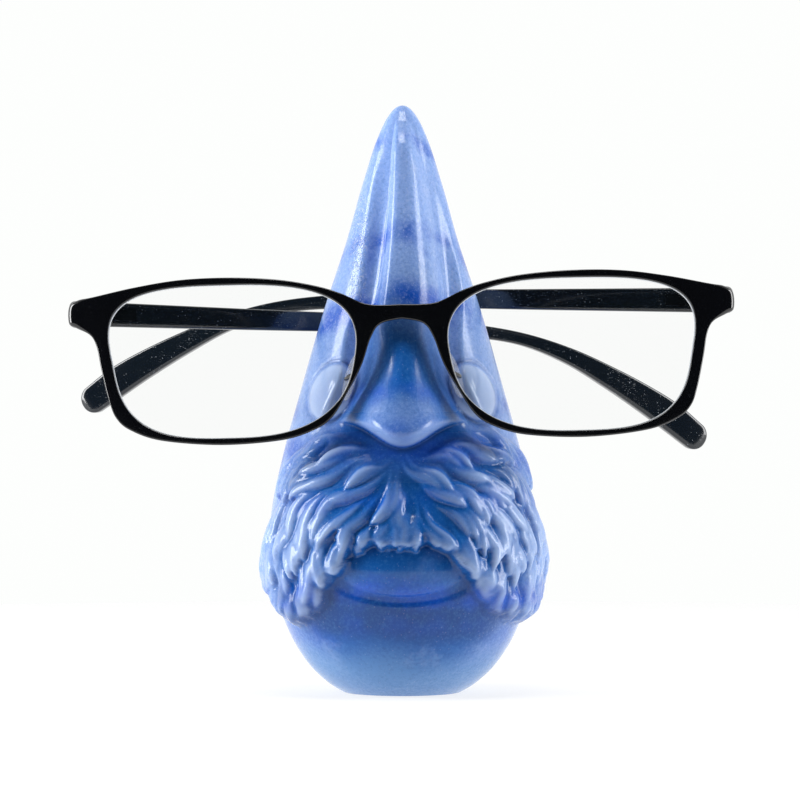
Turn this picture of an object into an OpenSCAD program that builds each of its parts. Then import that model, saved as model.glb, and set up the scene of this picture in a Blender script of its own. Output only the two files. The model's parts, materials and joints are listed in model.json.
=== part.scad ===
// A carved stone spectacle stand in the form of a bearded face, with the folded spectacles that it holds.
// Millimetres, +Z up, and the face looks along -Y. The origin is the centre of the stone's flat base.
// Left and right are the wearer's: the left side is at +X.

/* [Stone stand] */
// Height of the stone from the table to its tip
stone_height = 125.5; // [120:0.5:130]
// Greatest width of the stone's body, without the moustache
stone_width = 57.2; // [55:0.2:60]
// How far the moustache stands out of the face
moustache_relief = 3.6; // [2.4:0.2:4.2]
// How far the eyes stand out
eye_relief = 1.6; // [0.8:0.1:2]
// How far the lower lip stands out
lip_relief = 2.2; // [1:0.1:3]

/* [Spectacle front] */
// Front to back thickness of the moulded front
front_thickness = 3.2; // [3:0.1:3.6]
// Radius of the front's wrap, seen from above
wrap_radius = 280; // [240:10:400]
// Thickness of a lens
lens_thickness = 2; // [1.4:0.1:2.2]
// How far a lens reaches into the groove of its rim
lens_bite = 0.5; // [0.3:0.05:0.6]

/* [Spectacle arms] */
// Length of an arm from its hinge pin to its tip
arm_length = 146.5; // [140:0.5:150]
// Thickness of an arm
arm_thickness = 3; // [2.4:0.1:3.2]
// Angle between the folded left arm and the front
left_rest = 19.5; // [18:0.5:24]
// Angle between the folded right arm and the front
right_rest = 21.5; // [20:0.5:26]
// Cant of the left hinge, which lifts the folded left arm
left_cant = 2.1; // [2:0.1:3]
// Cant of the right hinge, which drops the folded right arm
right_cant = 2.8; // [2.6:0.1:3.4]

/* [Hinges] */
// Outer radius of a hinge knuckle
knuckle_r = 1.3; // [1.2:0.05:1.4]
// Radius of a hinge screw's shank
pin_r = 0.6; // [0.5:0.05:0.7]
// Gap between the turning knuckle and the screw
running_gap = 0.05; // [0.03:0.01:0.1]

/* [Hidden] */

RIGHT = -1;
LEFT = 1;

// ---------------------------------------------------------------- curves

// Slope at row i of a list of rows, read from the column c.
function row_slope(rows, c, i) =
    let (lo = max(i - 1, 0), hi = min(i + 1, len(rows) - 1))
    (rows[hi][c] - rows[lo][c]) / (rows[hi][0] - rows[lo][0]);

function row_before(rows, at, i = 0) =
    (i >= len(rows) - 2 || at < rows[i + 1][0]) ? i : row_before(rows, at, i + 1);

// Smooth curve through the rows' column c, read where their first column is at.
function curve(rows, at, c = 1) =
    let (q = min(max(at, rows[0][0]), rows[len(rows) - 1][0]),
         i = row_before(rows, q),
         span = rows[i + 1][0] - rows[i][0],
         u = (q - rows[i][0]) / span,
         m0 = row_slope(rows, c, i) * span,
         m1 = row_slope(rows, c, i + 1) * span)
    rows[i][c] * (2 * pow(u, 3) - 3 * u * u + 1) + m0 * (pow(u, 3) - 2 * u * u + u)
    + rows[i + 1][c] * (3 * u * u - 2 * pow(u, 3)) + m1 * (pow(u, 3) - u * u);

// 0 below zero, 1 above one, and a smooth step between.
function smooth(u) = let (c = min(max(u, 0), 1)) c * c * (3 - 2 * c);

function signed_pow(v, p) = sign(v) * pow(abs(v), p);

// Point at share u of the span from p1 to p2 on a smooth curve.
function span_point(p0, p1, p2, p3, u) =
    0.5 * (2 * p1 + (p2 - p0) * u + (2 * p0 - 5 * p1 + 4 * p2 - p3) * u * u
           + (3 * p1 - p0 - 3 * p2 + p3) * pow(u, 3));

// Smooth curve through the points p, with n pieces in each span.
function smooth_path(p, n) =
    let (last = len(p) - 1)
    concat([for (i = [0:last - 1], k = [0:n - 1])
        span_point(p[max(i - 1, 0)], p[i], p[i + 1], p[min(i + 2, last)], k / n)], [p[last]]);

// ---------------------------------------------------------------- the carved stone

DRAWN_HEIGHT = 125.5;
DRAWN_WIDTH = 57.2;

// The body without its carving: [height, half width, depth in front, depth behind].
BODY = [[0, 12.5, 12.5, 11], [2, 15.8, 16, 14], [6, 20, 20.5, 17.5], [12, 23.8, 24.5, 20],
        [20, 26.8, 27, 21.8], [30, 28.6, 27.5, 22.5], [40, 27.8, 26, 21.5], [52, 25.2, 22.5, 19.3],
        [65, 21.6, 18.5, 16.2], [80, 17.3, 14.5, 12.4], [95, 12.4, 10.5, 9], [108, 8.7, 7.8, 6.3],
        [118, 5.5, 5, 4.2], [123.5, 2.8, 2.6, 2.2], [125.5, 0.2, 0.2, 0.2]];
// Squares of the body's sizes, so that the curve through them closes the tip as a round dome.
BODY_SQUARED = [for (row = BODY) [row[0], row[1] * row[1], row[2] * row[2], row[3] * row[3]]];
// The nose: [height, reach of its ridge in front of the axis, half width where it meets the face].
NOSE = [[50, 28, 16], [55, 31, 15.5], [60, 29, 12.6], [66, 26, 9.4], [70, 24.2, 8.6], [79, 20.5, 8],
        [84, 18.7, 7.6], [95, 15, 6.6], [108, 10.8, 4.8], [118, 6.9, 3.3], [125.5, 0.3, 1.5]];
// Exponents of the nose's section: how flat it is along its ridge, and how round towards the face.
NOSE_SHAPE = [3, 0.6];
// The nose's underside: its lowest point, how far out its wings rise and by how much, and its roundness.
NOSE_TIP_HEIGHT = 52.4;
NOSE_WING = [15, 5.1];
NOSE_UNDERCUT = 3.5;
// The hollow beside the nose: [height, depth].
FLUTE = [[54, 0], [60, 1.4], [66, 2.4], [80, 2], [95, 1.2], [110, 0.4], [118, 0]];
FLUTE_HALF_WIDTH = 3.4;
// The moustache: [angle from the front, height of its upper edge, height of its lower edge, share of relief].
MOUSTACHE = [[0, 52.5, 31, 1], [18, 54, 31, 1], [25, 55.6, 27.6, 1], [31, 57, 24, 1], [38, 57.6, 20.2, 1],
             [46, 56.5, 17.6, 0.95], [53, 53, 16, 0.9], [60, 49, 15.2, 0.85], [68, 44.6, 15.4, 0.8],
             [76, 41, 18.4, 0.7], [86, 38, 22.4, 0.6], [97, 35.4, 25.6, 0.45], [108, 33, 28.2, 0.2]];
MOUSTACHE_END = 108;
// Height over which the moustache rises from its upper edge in front, and how much more at the sides.
MOUSTACHE_SLOPE = [6, 14];
// Height over which it rises from its lower edge.
MOUSTACHE_EDGE = 1.6;
// Angle between the grooves that part its locks, and the depth of a groove.
LOCK_ANGLE = 13;
LOCK_DEPTH = 0.7;
// How much the locks close up towards the nose, and the heights between which they do.
LOCK_FAN = [0.5, 34, 58];
// Centre, half width and height, and lean towards the nose of the left eye.
EYE = [15.2, 64.5];
EYE_HALF = [4.1, 7.3];
EYE_LEAN = 26;
// Centre and half width and height of the lower lip.
LIP = [0, 27.6];
LIP_HALF = [12.5, 4.5];
// The groove under the lip: its height, half its height across, and its depth.
CHIN_GROOVE = [22, 2.6, 0.9];

function body_size(z, c) = sqrt(max(curve(BODY_SQUARED, z, c), 0.01));

// Height of a round bump of half sizes h over the point c, leaning by lean degrees.
function bump(x, z, c, h, lean = 0) =
    let (dx = x - c[0], dz = z - c[1],
         across = (dx * cos(lean) - dz * sin(lean)) / h[0],
         along = (dz * cos(lean) + dx * sin(lean)) / h[1])
    sqrt(max(1 - across * across - along * along, 0));

// How far the nose stands out of the face.
function nose_relief(x, z) =
    let (u = min(abs(x) / curve(NOSE, z, 2), 1),
         under = NOSE_TIP_HEIGHT + NOSE_WING[1] * pow(abs(x) / NOSE_WING[0], 1.5),
         rise = min(max((z - under) / NOSE_UNDERCUT, 0), 1),
         reach = curve(NOSE, z, 1) - body_size(z, 2))
    max(reach, 0) * pow(1 - pow(u, NOSE_SHAPE[0]), NOSE_SHAPE[1]) * sqrt(1 - pow(1 - rise, 2));

// How deep the hollow beside the nose is.
function flute_depth(x, z) =
    let (off = (abs(x) - curve(NOSE, z, 2) - FLUTE_HALF_WIDTH * 0.4) / FLUTE_HALF_WIDTH)
    curve(FLUTE, z) * smooth(1 - abs(off));

// How far the moustache stands out at the angle a from the front. Its locks fan out from under the nose.
function moustache_height(a, z) =
    let (t = abs(a),
         top = curve(MOUSTACHE, t, 1),
         foot = curve(MOUSTACHE, t, 2),
         slope = MOUSTACHE_SLOPE[0] + MOUSTACHE_SLOPE[1] * smooth(t / 90),
         inside = smooth((top - z) / slope) * smooth((z - foot) / MOUSTACHE_EDGE),
         fan = 1 - LOCK_FAN[0] * smooth((z - LOCK_FAN[1]) / (LOCK_FAN[2] - LOCK_FAN[1])),
         lock = abs(sin(180 * a / fan / LOCK_ANGLE)))
    t > MOUSTACHE_END ? 0 : inside * curve(MOUSTACHE, t, 3) * (moustache_relief - LOCK_DEPTH * (1 - lock));

function eyes_height(x, z) = eye_relief * bump(abs(x), z, EYE, EYE_HALF, -EYE_LEAN);
function lip_height(x, z) =
    lip_relief * bump(x, z, LIP, LIP_HALF)
    - CHIN_GROOVE[2] * smooth(1 - abs(z - CHIN_GROOVE[0]) / CHIN_GROOVE[1]) * smooth(1.6 - abs(x) / 10);

// Point of the stone's skin at the angle a from the front and the height z, as drawn.
function skin_point(a, z) =
    let (front = abs(a) < 90,
         w = body_size(z, 1),
         d = body_size(z, front ? 2 : 3),
         x = w * sin(a),
         out = [sin(a) / w, -cos(a) / d],
         hair = moustache_height(a, z),
         y = -d * cos(a) - (front ? nose_relief(x, z) - flute_depth(x, z) + eyes_height(x, z)
                                    + (hair > 0 ? 0 : lip_height(x, z)) : 0))
    [(x + out[0] / norm(out) * hair) * stone_width / DRAWN_WIDTH, y + out[1] / norm(out) * hair,
     z * stone_height / DRAWN_HEIGHT];

RING_HEIGHTS = concat([0, 0.8, 2, 4, 6, 9, 12], [for (z = [14:1.4:60.2]) z], [for (z = [62.5:3.5:118.5]) z],
                      [121, 123, 124.3, 125.1, 125.5]);
FACE_SPAN = 115;
FACE_COLUMNS = 54;
BACK_COLUMNS = 12;
COLUMN_ANGLES = concat([for (j = [0:FACE_COLUMNS]) -FACE_SPAN + 2 * FACE_SPAN * j / FACE_COLUMNS],
                       [for (j = [1:BACK_COLUMNS - 1])
                           FACE_SPAN + 2 * (180 - FACE_SPAN) * j / BACK_COLUMNS]);

module stone_head() {
    rings = len(RING_HEIGHTS);
    cols = len(COLUMN_ANGLES);
    skin = [for (z = RING_HEIGHTS, a = COLUMN_ANGLES) skin_point(a > 180 ? a - 360 : a, z)];
    sides = [for (i = [0:rings - 2], j = [0:cols - 1], half = [0, 1])
        let (k = (j + 1) % cols)
        half == 0 ? [i * cols + j, (i + 1) * cols + j, i * cols + k]
                  : [i * cols + k, (i + 1) * cols + j, (i + 1) * cols + k]];
    foot = [for (j = [0:cols - 1]) j];
    tip = [for (j = [cols - 1:-1:0]) (rings - 1) * cols + j];
    color([0.45, 0.58, 0.82]) polyhedron(skin, concat(sides, [foot, tip]), convexity = 10);
}

// ---------------------------------------------------------------- the spectacles' front

// The front is drawn flat in its own X and Z, with its origin on the front face midway between the lens
// centres, and is cut from an upright shell, so that it wraps back towards its ends.
SEAT = [0, -24, 71.2 * stone_height / DRAWN_HEIGHT];
SEAT_ROLL = 1.3;
LENS_X = 35.4;
// Half width, half height and squareness of a lens opening, and how it widens and leans towards the temple.
LENS_HALF = [25.4, 15.95];
LENS_SQUARENESS = 2.9;
LENS_WIDEN = 0.007;
LENS_LEAN = 0.0065;
LENS_POINTS = 56;
// Outer edge of the left half, from the middle of the bridge's top round to the middle of its underside.
HALF_OUTLINE = [[0, 11.1], [7, 11.3], [12.8, 13.8], [17.9, 15.4], [25.4, 16.8], [35.4, 17.5],
                [46, 17.3], [55.7, 16], [64.8, 14.2], [67.8, 13.7], [69.8, 12.4], [69.9, 8.8],
                [68.3, 7.8], [65.3, 6.2], [64, 3.6], [63.2, -0.8], [61.7, -7.4], [60.2, -11.3],
                [57.2, -13.9], [50.6, -16.2], [38, -17.35], [25.4, -16.6], [18.6, -14.6], [14.8, -12],
                [11.5, -6.9], [8.5, -1.4], [6.5, 4.2], [4.4, 7.1], [0, 8.1]];
OUTLINE_STEPS = 3;
WRAP_FACES = 360;
// Half the height of the wrap's shell, and the depth of the blocks that are cut from it.
SHELL_HALF_HEIGHT = 30;
BLOCK_DEPTH = 32;
// How far a lens lies behind the front face, and the gap round it in its groove.
LENS_SET_BACK = 0.6;
GROOVE_GAP = 0.03;

// The hinge, in the front's own frame: the pin's X, its distance behind the front face, and its height.
HINGE = [65.4, 13.8, 10.9];
// The lug behind each end of the front: its X and Z, and its depth behind the front face.
END_LUG = [[62.6, 69.9], [7.9, 13.7]];
END_LUG_BACK = 13.2;
END_LUG_FRONT = 8;

// Lens opening grown by d, in the front's own X and Z.
function lens_outline(side, d) =
    [for (i = [0:LENS_POINTS - 1])
        let (t = side * 360 * i / LENS_POINTS,
             z = LENS_HALF[1] * signed_pow(sin(t), 2 / LENS_SQUARENESS),
             across = (1 + LENS_WIDEN * z) * signed_pow(cos(t), 2 / LENS_SQUARENESS),
             x = LENS_HALF[0] * across + LENS_LEAN * z * z)
        [side * (LENS_X + x * (1 + d / LENS_HALF[0])), z * (1 + d / LENS_HALF[1])]];

function front_outline() =
    let (half = smooth_path(HALF_OUTLINE, OUTLINE_STEPS), n = len(half))
    concat(half, [for (i = [n - 2:-1:1]) [-half[i][0], half[i][1]]]);

module seated() {
    translate(SEAT) rotate([0, -SEAT_ROLL, 0]) children();
}

// Upright shell of the wrap, from the depth near to the depth far behind the front face.
module wrap_shell(near, far) {
    translate([0, wrap_radius, -SHELL_HALF_HEIGHT]) difference() {
        cylinder(h = 2 * SHELL_HALF_HEIGHT, r = wrap_radius - near, $fn = WRAP_FACES);
        translate([0, 0, -1]) cylinder(h = 2 * SHELL_HALF_HEIGHT + 2, r = wrap_radius - far, $fn = WRAP_FACES);
    }
}

// A flat outline of X and Z, as an upright block that runs from 2 before the front face to behind it.
module upright_block() {
    translate([0, BLOCK_DEPTH - 2, 0]) rotate([90, 0, 0]) linear_extrude(BLOCK_DEPTH) children();
}

module lens_solid(side, bite, near, far) {
    intersection() {
        upright_block() polygon(lens_outline(side, bite));
        wrap_shell(near, far);
    }
}

// Lug behind the end of the front, notched where the knuckles turn.
module end_lug(side) {
    translate([side < 0 ? -END_LUG[0][1] : END_LUG[0][0], END_LUG_FRONT, END_LUG[1][0]])
        cube([END_LUG[0][1] - END_LUG[0][0], END_LUG_BACK - END_LUG_FRONT, END_LUG[1][1] - END_LUG[1][0]]);
}

// The notch in which the knuckles turn: its X, where it starts behind the front face, and its size.
NOTCH = [61, 67.1];
NOTCH_FRONT = 11.6;
NOTCH_SIZE = [9, 20];

module front_frame() {
    color([0.05, 0.05, 0.06]) seated() difference() {
        union() {
            difference() {
                intersection() {
                    upright_block() polygon(front_outline());
                    wrap_shell(0, front_thickness);
                }
                for (side = [RIGHT, LEFT]) upright_block() polygon(lens_outline(side, 0));
            }
            for (side = [RIGHT, LEFT]) end_lug(side);
            for (side = [RIGHT, LEFT]) pad_post(side);
        }
        for (side = [RIGHT, LEFT]) {
            lens_solid(side, lens_bite + GROOVE_GAP, LENS_SET_BACK - GROOVE_GAP,
                       LENS_SET_BACK + lens_thickness + GROOVE_GAP);
            translate([side < 0 ? -NOTCH[1] : NOTCH[0], NOTCH_FRONT, 0])
                cube([NOTCH[1] - NOTCH[0], NOTCH_SIZE[0], NOTCH_SIZE[1]]);
        }
        for (side = [RIGHT, LEFT]) at_pin(side) leaf_slot();
    }
}

module right_lens() {
    color([0.9, 0.95, 1, 0.3]) seated()
        lens_solid(RIGHT, lens_bite, LENS_SET_BACK, LENS_SET_BACK + lens_thickness);
}

module left_lens() {
    color([0.9, 0.95, 1, 0.3]) seated()
        lens_solid(LEFT, lens_bite, LENS_SET_BACK, LENS_SET_BACK + lens_thickness);
}

// ---------------------------------------------------------------- nose pads

PAD_AT = [10.7, 6.4, -3.7];
PAD_HALF = [2.3, 5.2];
PAD_THICKNESS = 1.6;
// Lean of a pad with the nose's width, and turn with its depth.
PAD_TURN = [18, 22];
PAD_POINTS = 32;
// The post that carries a pad: its radius, its start and end behind the front face, and its X and Z.
POST_R = 0.6;
POST_SPAN = [1.6, 5.4];
POST_AT = [10.5, -4.2];

module nose_pad(side) {
    translate([side * PAD_AT[0], PAD_AT[1], PAD_AT[2]])
        rotate([0, -side * PAD_TURN[0], -side * PAD_TURN[1]])
            rotate([90, 0, 90]) linear_extrude(PAD_THICKNESS, center = true)
                polygon([for (i = [0:PAD_POINTS - 1])
                    let (t = 360 * i / PAD_POINTS) [PAD_HALF[0] * cos(t), PAD_HALF[1] * sin(t)]]);
}

module pad_post(side) {
    difference() {
        translate([side * POST_AT[0], POST_SPAN[1], POST_AT[1]]) rotate([90, 0, 0])
            cylinder(h = POST_SPAN[1] - POST_SPAN[0], r = POST_R, $fn = 24);
        nose_pad(side);
    }
}

module right_nose_pad() {
    color([0.85, 0.88, 0.9, 0.6]) seated() nose_pad(RIGHT);
}

module left_nose_pad() {
    color([0.85, 0.88, 0.9, 0.6]) seated() nose_pad(LEFT);
}

// ---------------------------------------------------------------- hinges

// Everything at a hinge is drawn for the left side: +Z up the pin, +X outward and +Y along the opened arm.
// Height of the arm's knuckle, which turns between the front's two, and the gap above and below it.
KNUCKLE_STEP = 1.3;
KNUCKLE_GAP = 0.1;
PIN_FACES = 48;
LEAF_THICKNESS = 1;
LEAF_HALF_HEIGHT = 2.05;
FRONT_LEAF_REACH = 5.4;
ARM_LEAF_REACH = 10;
ARM_LEAF_HALF_HEIGHT = 1.2;
// Distance from the pin to the arm's inner face.
ARM_OFFSET = 1.55;
// Radius and height of a screw's head, and width and depth of its slot.
SCREW_HEAD = [1.1, 0.5];
SCREW_SLOT = [0.3, 0.25];

// Puts its children on a hinge pin, in the front's own frame.
module at_pin(side) {
    translate([side * HINGE[0], HINGE[1], HINGE[2]]) rotate([0, side < 0 ? right_cant : left_cant, 0])
        if (side < 0) mirror([1, 0, 0]) children();
        else children();
}

// Puts its children on a hinge pin, turned with the folded arm.
module at_arm(side) {
    seated() at_pin(side) rotate([0, 0, 90 - (side < 0 ? right_rest : left_rest)]) children();
}

// Upright cylinder on the pin's line, from the height low.
module on_line(low, height, radius) {
    translate([0, 0, low]) cylinder(h = height, r = radius, $fn = PIN_FACES);
}

module leaf_slot() {
    translate([-knuckle_r, -FRONT_LEAF_REACH, -LEAF_HALF_HEIGHT])
        cube([LEAF_THICKNESS, FRONT_LEAF_REACH, 2 * LEAF_HALF_HEIGHT]);
}

module front_hinge_leaf() {
    difference() {
        union() {
            leaf_slot();
            on_line(-LEAF_HALF_HEIGHT, 2 * LEAF_HALF_HEIGHT, knuckle_r);
        }
        on_line(-LEAF_HALF_HEIGHT - 1, 2 * LEAF_HALF_HEIGHT + 2, pin_r);
        on_line(-KNUCKLE_STEP / 2 - KNUCKLE_GAP, KNUCKLE_STEP + 2 * KNUCKLE_GAP, knuckle_r + 0.2);
    }
}

module arm_hinge_leaf() {
    difference() {
        union() {
            on_line(-KNUCKLE_STEP / 2, KNUCKLE_STEP, knuckle_r);
            translate([ARM_OFFSET - LEAF_THICKNESS, 0, -KNUCKLE_STEP / 2])
                cube([LEAF_THICKNESS, 2.4, KNUCKLE_STEP]);
            translate([ARM_OFFSET - LEAF_THICKNESS, 2, -ARM_LEAF_HALF_HEIGHT])
                cube([LEAF_THICKNESS, ARM_LEAF_REACH - 2, 2 * ARM_LEAF_HALF_HEIGHT]);
        }
        on_line(-KNUCKLE_STEP, 2 * KNUCKLE_STEP, pin_r + running_gap);
    }
}

module hinge_screw() {
    difference() {
        union() {
            on_line(-LEAF_HALF_HEIGHT, 2 * LEAF_HALF_HEIGHT, pin_r);
            on_line(LEAF_HALF_HEIGHT, SCREW_HEAD[1], SCREW_HEAD[0]);
        }
        translate([-2, -SCREW_SLOT[0] / 2, LEAF_HALF_HEIGHT + SCREW_HEAD[1] - SCREW_SLOT[1]])
            cube([4, SCREW_SLOT[0], 1]);
    }
}

module right_front_hinge_leaf() {
    color([0.7, 0.7, 0.72]) seated() at_pin(RIGHT) front_hinge_leaf();
}

module left_front_hinge_leaf() {
    color([0.7, 0.7, 0.72]) seated() at_pin(LEFT) front_hinge_leaf();
}

module right_arm_hinge_leaf() {
    color([0.7, 0.7, 0.72]) at_arm(RIGHT) arm_hinge_leaf();
}

module left_arm_hinge_leaf() {
    color([0.7, 0.7, 0.72]) at_arm(LEFT) arm_hinge_leaf();
}

module right_hinge_screw() {
    color([0.6, 0.6, 0.62]) seated() at_pin(RIGHT) hinge_screw();
}

module left_hinge_screw() {
    color([0.6, 0.6, 0.62]) seated() at_pin(LEFT) hinge_screw();
}

// ---------------------------------------------------------------- arms

// Along an arm from its pin: [share of its length, drop of its middle line, height].
ARM = [[0, 0, 5.3], [0.27, 0, 4.5], [0.47, 0, 3.8], [0.6, 0.8, 3], [0.685, 2.3, 2.8], [0.765, 5.8, 3.7],
       [0.84, 10.8, 5.1], [0.9, 15.4, 6.2], [0.94, 18.9, 6.7], [0.978, 22.8, 6.3]];
ARM_SAMPLES = 40;

function arm_middle(u) = [u * arm_length, -curve(ARM, u, 1)];
function arm_slope(u) =
    let (d = arm_middle(min(u + 0.01, ARM[len(ARM) - 1][0])) - arm_middle(max(u - 0.01, 0)))
    atan2(d[1], d[0]);
// Edge of the arm on one side of its middle line: 1 above, -1 below.
function arm_edge(u, up) =
    arm_middle(u) + up * curve(ARM, u, 2) / 2 * [-sin(arm_slope(u)), cos(arm_slope(u))];

module arm_profile() {
    end = ARM[len(ARM) - 1][0];
    half_end = ARM[len(ARM) - 1][2] / 2;
    polygon(concat([for (i = [0:ARM_SAMPLES]) arm_edge(end * i / ARM_SAMPLES, 1)],
                   [for (t = [75:-15:-75])
                       arm_middle(end) + half_end * [cos(t + arm_slope(end)), sin(t + arm_slope(end))]],
                   [for (i = [ARM_SAMPLES:-1:0]) arm_edge(end * i / ARM_SAMPLES, -1)]));
}

module arm() {
    translate([ARM_OFFSET, 0, 0]) rotate([90, 0, 90]) linear_extrude(arm_thickness) arm_profile();
}

module right_arm() {
    color([0.05, 0.05, 0.06]) at_arm(RIGHT) arm();
}

module left_arm() {
    color([0.05, 0.05, 0.06]) at_arm(LEFT) arm();
}

stone_head();
front_frame();
right_lens();
left_lens();
right_nose_pad();
left_nose_pad();
right_front_hinge_leaf();
left_front_hinge_leaf();
right_arm_hinge_leaf();
left_arm_hinge_leaf();
right_hinge_screw();
left_hinge_screw();
right_arm();
left_arm();
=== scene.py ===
"""A polished blue stone spectacle stand, a bearded face under a tall cone, with black spectacles on its nose.

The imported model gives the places: the stone's box, the hinge pins and the nodes. The looks are made here, in
millimetres, and are written to the meshes in metres. Left and right are the wearer's: left is at +X.
"""

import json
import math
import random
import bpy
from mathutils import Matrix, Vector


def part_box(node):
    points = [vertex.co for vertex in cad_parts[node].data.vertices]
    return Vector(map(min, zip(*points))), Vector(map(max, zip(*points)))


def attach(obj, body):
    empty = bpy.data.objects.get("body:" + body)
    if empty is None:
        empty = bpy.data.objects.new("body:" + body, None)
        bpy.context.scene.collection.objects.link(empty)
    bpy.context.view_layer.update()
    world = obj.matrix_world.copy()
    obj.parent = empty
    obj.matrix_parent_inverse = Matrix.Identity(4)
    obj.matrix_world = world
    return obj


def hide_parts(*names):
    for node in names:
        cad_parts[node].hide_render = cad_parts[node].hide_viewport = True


bl_info = {
    "name": "Stone spectacle stand",
    "version": (1, 0, 0),
    "blender": (4, 5, 0),
    "location": "3D View > Sidebar > Stand",
    "description": "Builds a carved stone spectacle stand and the folded spectacles on it",
    "category": "Object",
}

import bpy
import bmesh
import numpy as np
from bpy.props import FloatProperty, FloatVectorProperty, IntProperty, PointerProperty
from mathutils import Matrix, Vector
from mathutils.bvhtree import BVHTree
from mathutils.geometry import delaunay_2d_cdt

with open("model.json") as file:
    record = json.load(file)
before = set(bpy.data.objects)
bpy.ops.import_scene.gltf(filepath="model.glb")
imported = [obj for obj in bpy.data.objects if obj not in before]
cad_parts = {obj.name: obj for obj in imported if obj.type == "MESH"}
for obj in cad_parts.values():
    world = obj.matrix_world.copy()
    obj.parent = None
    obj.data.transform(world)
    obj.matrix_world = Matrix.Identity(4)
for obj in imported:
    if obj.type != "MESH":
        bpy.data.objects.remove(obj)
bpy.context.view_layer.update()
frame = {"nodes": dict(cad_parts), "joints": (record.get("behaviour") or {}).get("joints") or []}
MM = 0.001
RIGHT, LEFT = -1, 1
SIDE_NAMES = {RIGHT: "right", LEFT: "left"}


# ---------------------------------------------------------------- curves and meshes


def curve(rows, at, column=1):
    """Smooth curve through the rows' column, read where their first column is at."""
    rows = np.asarray(rows, float)
    places, values = rows[:, 0], rows[:, column]
    index = np.arange(len(places))
    low, high = np.maximum(index - 1, 0), np.minimum(index + 1, len(places) - 1)
    slopes = (values[high] - values[low]) / (places[high] - places[low])
    q = np.clip(at, places[0], places[-1])
    i = np.clip(np.searchsorted(places, q, "right") - 1, 0, len(places) - 2)
    span = places[i + 1] - places[i]
    u = (q - places[i]) / span
    start, end = values[i], values[i + 1]
    return (
        start * (2 * u**3 - 3 * u**2 + 1)
        + slopes[i] * span * (u**3 - 2 * u**2 + u)
        + end * (3 * u**2 - 2 * u**3)
        + slopes[i + 1] * span * (u**3 - u**2)
    )


def smooth(u):
    """0 below zero, 1 above one, and a smooth step between."""
    u = np.clip(u, 0, 1)
    return u * u * (3 - 2 * u)


def smooth_path(points, steps):
    """Smooth curve through the points, with that many steps in each span."""
    p = np.asarray(points, float)
    last = len(p) - 1
    path = []
    for i in range(last):
        p0, p1, p2, p3 = p[max(i - 1, 0)], p[i], p[i + 1], p[min(i + 2, last)]
        for u in np.arange(steps) / steps:
            path.append(
                0.5 * (2 * p1 + (p2 - p0) * u + (2 * p0 - 5 * p1 + 4 * p2 - p3) * u**2
                       + (3 * p1 - p0 - 3 * p2 + p3) * u**3)
            )
    return np.array(path + [p[last]])


def turn_y(degrees):
    return np.array(Matrix.Rotation(math.radians(degrees), 3, "Y"))


def turn_z(degrees):
    return np.array(Matrix.Rotation(math.radians(degrees), 3, "Z"))


def linked(name, data):
    """A new object of the data, in the scene."""
    obj = bpy.data.objects.new(name, data)
    bpy.context.scene.collection.objects.link(obj)
    return obj


def piece(name, points, faces, materials, body, stands_for=(), face_materials=None):
    """A closed smooth mesh of points in millimetres, riding on its body in place of the nodes it replaces."""
    mesh = bpy.data.meshes.new(name)
    faces = [tuple(int(i) for i in face) for face in faces]
    mesh.from_pydata([tuple(p) for p in np.asarray(points) * MM], [], faces)
    for material in materials:
        mesh.materials.append(material)
    if face_materials is not None:
        mesh.polygons.foreach_set("material_index", np.asarray(face_materials, np.int32))
    return mesh_piece(name, mesh, body, stands_for)


def mesh_piece(name, mesh, body, stands_for=()):
    """An object of the finished mesh, with its normals pointing out."""
    work = bmesh.new()
    work.from_mesh(mesh)
    bmesh.ops.remove_doubles(work, verts=work.verts, dist=1e-7)
    bmesh.ops.recalc_face_normals(work, faces=work.faces)
    work.to_mesh(mesh)
    work.free()
    mesh.polygons.foreach_set("use_smooth", [True] * len(mesh.polygons))
    obj = linked(name, mesh)
    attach(obj, body)
    if stands_for:
        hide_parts(*stands_for)
    return obj


def ring_faces(first, second, count):
    """Quads between two closed rings of points, given by the index of each ring's first point."""
    return [(first + k, first + (k + 1) % count, second + (k + 1) % count, second + k) for k in range(count)]


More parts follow.
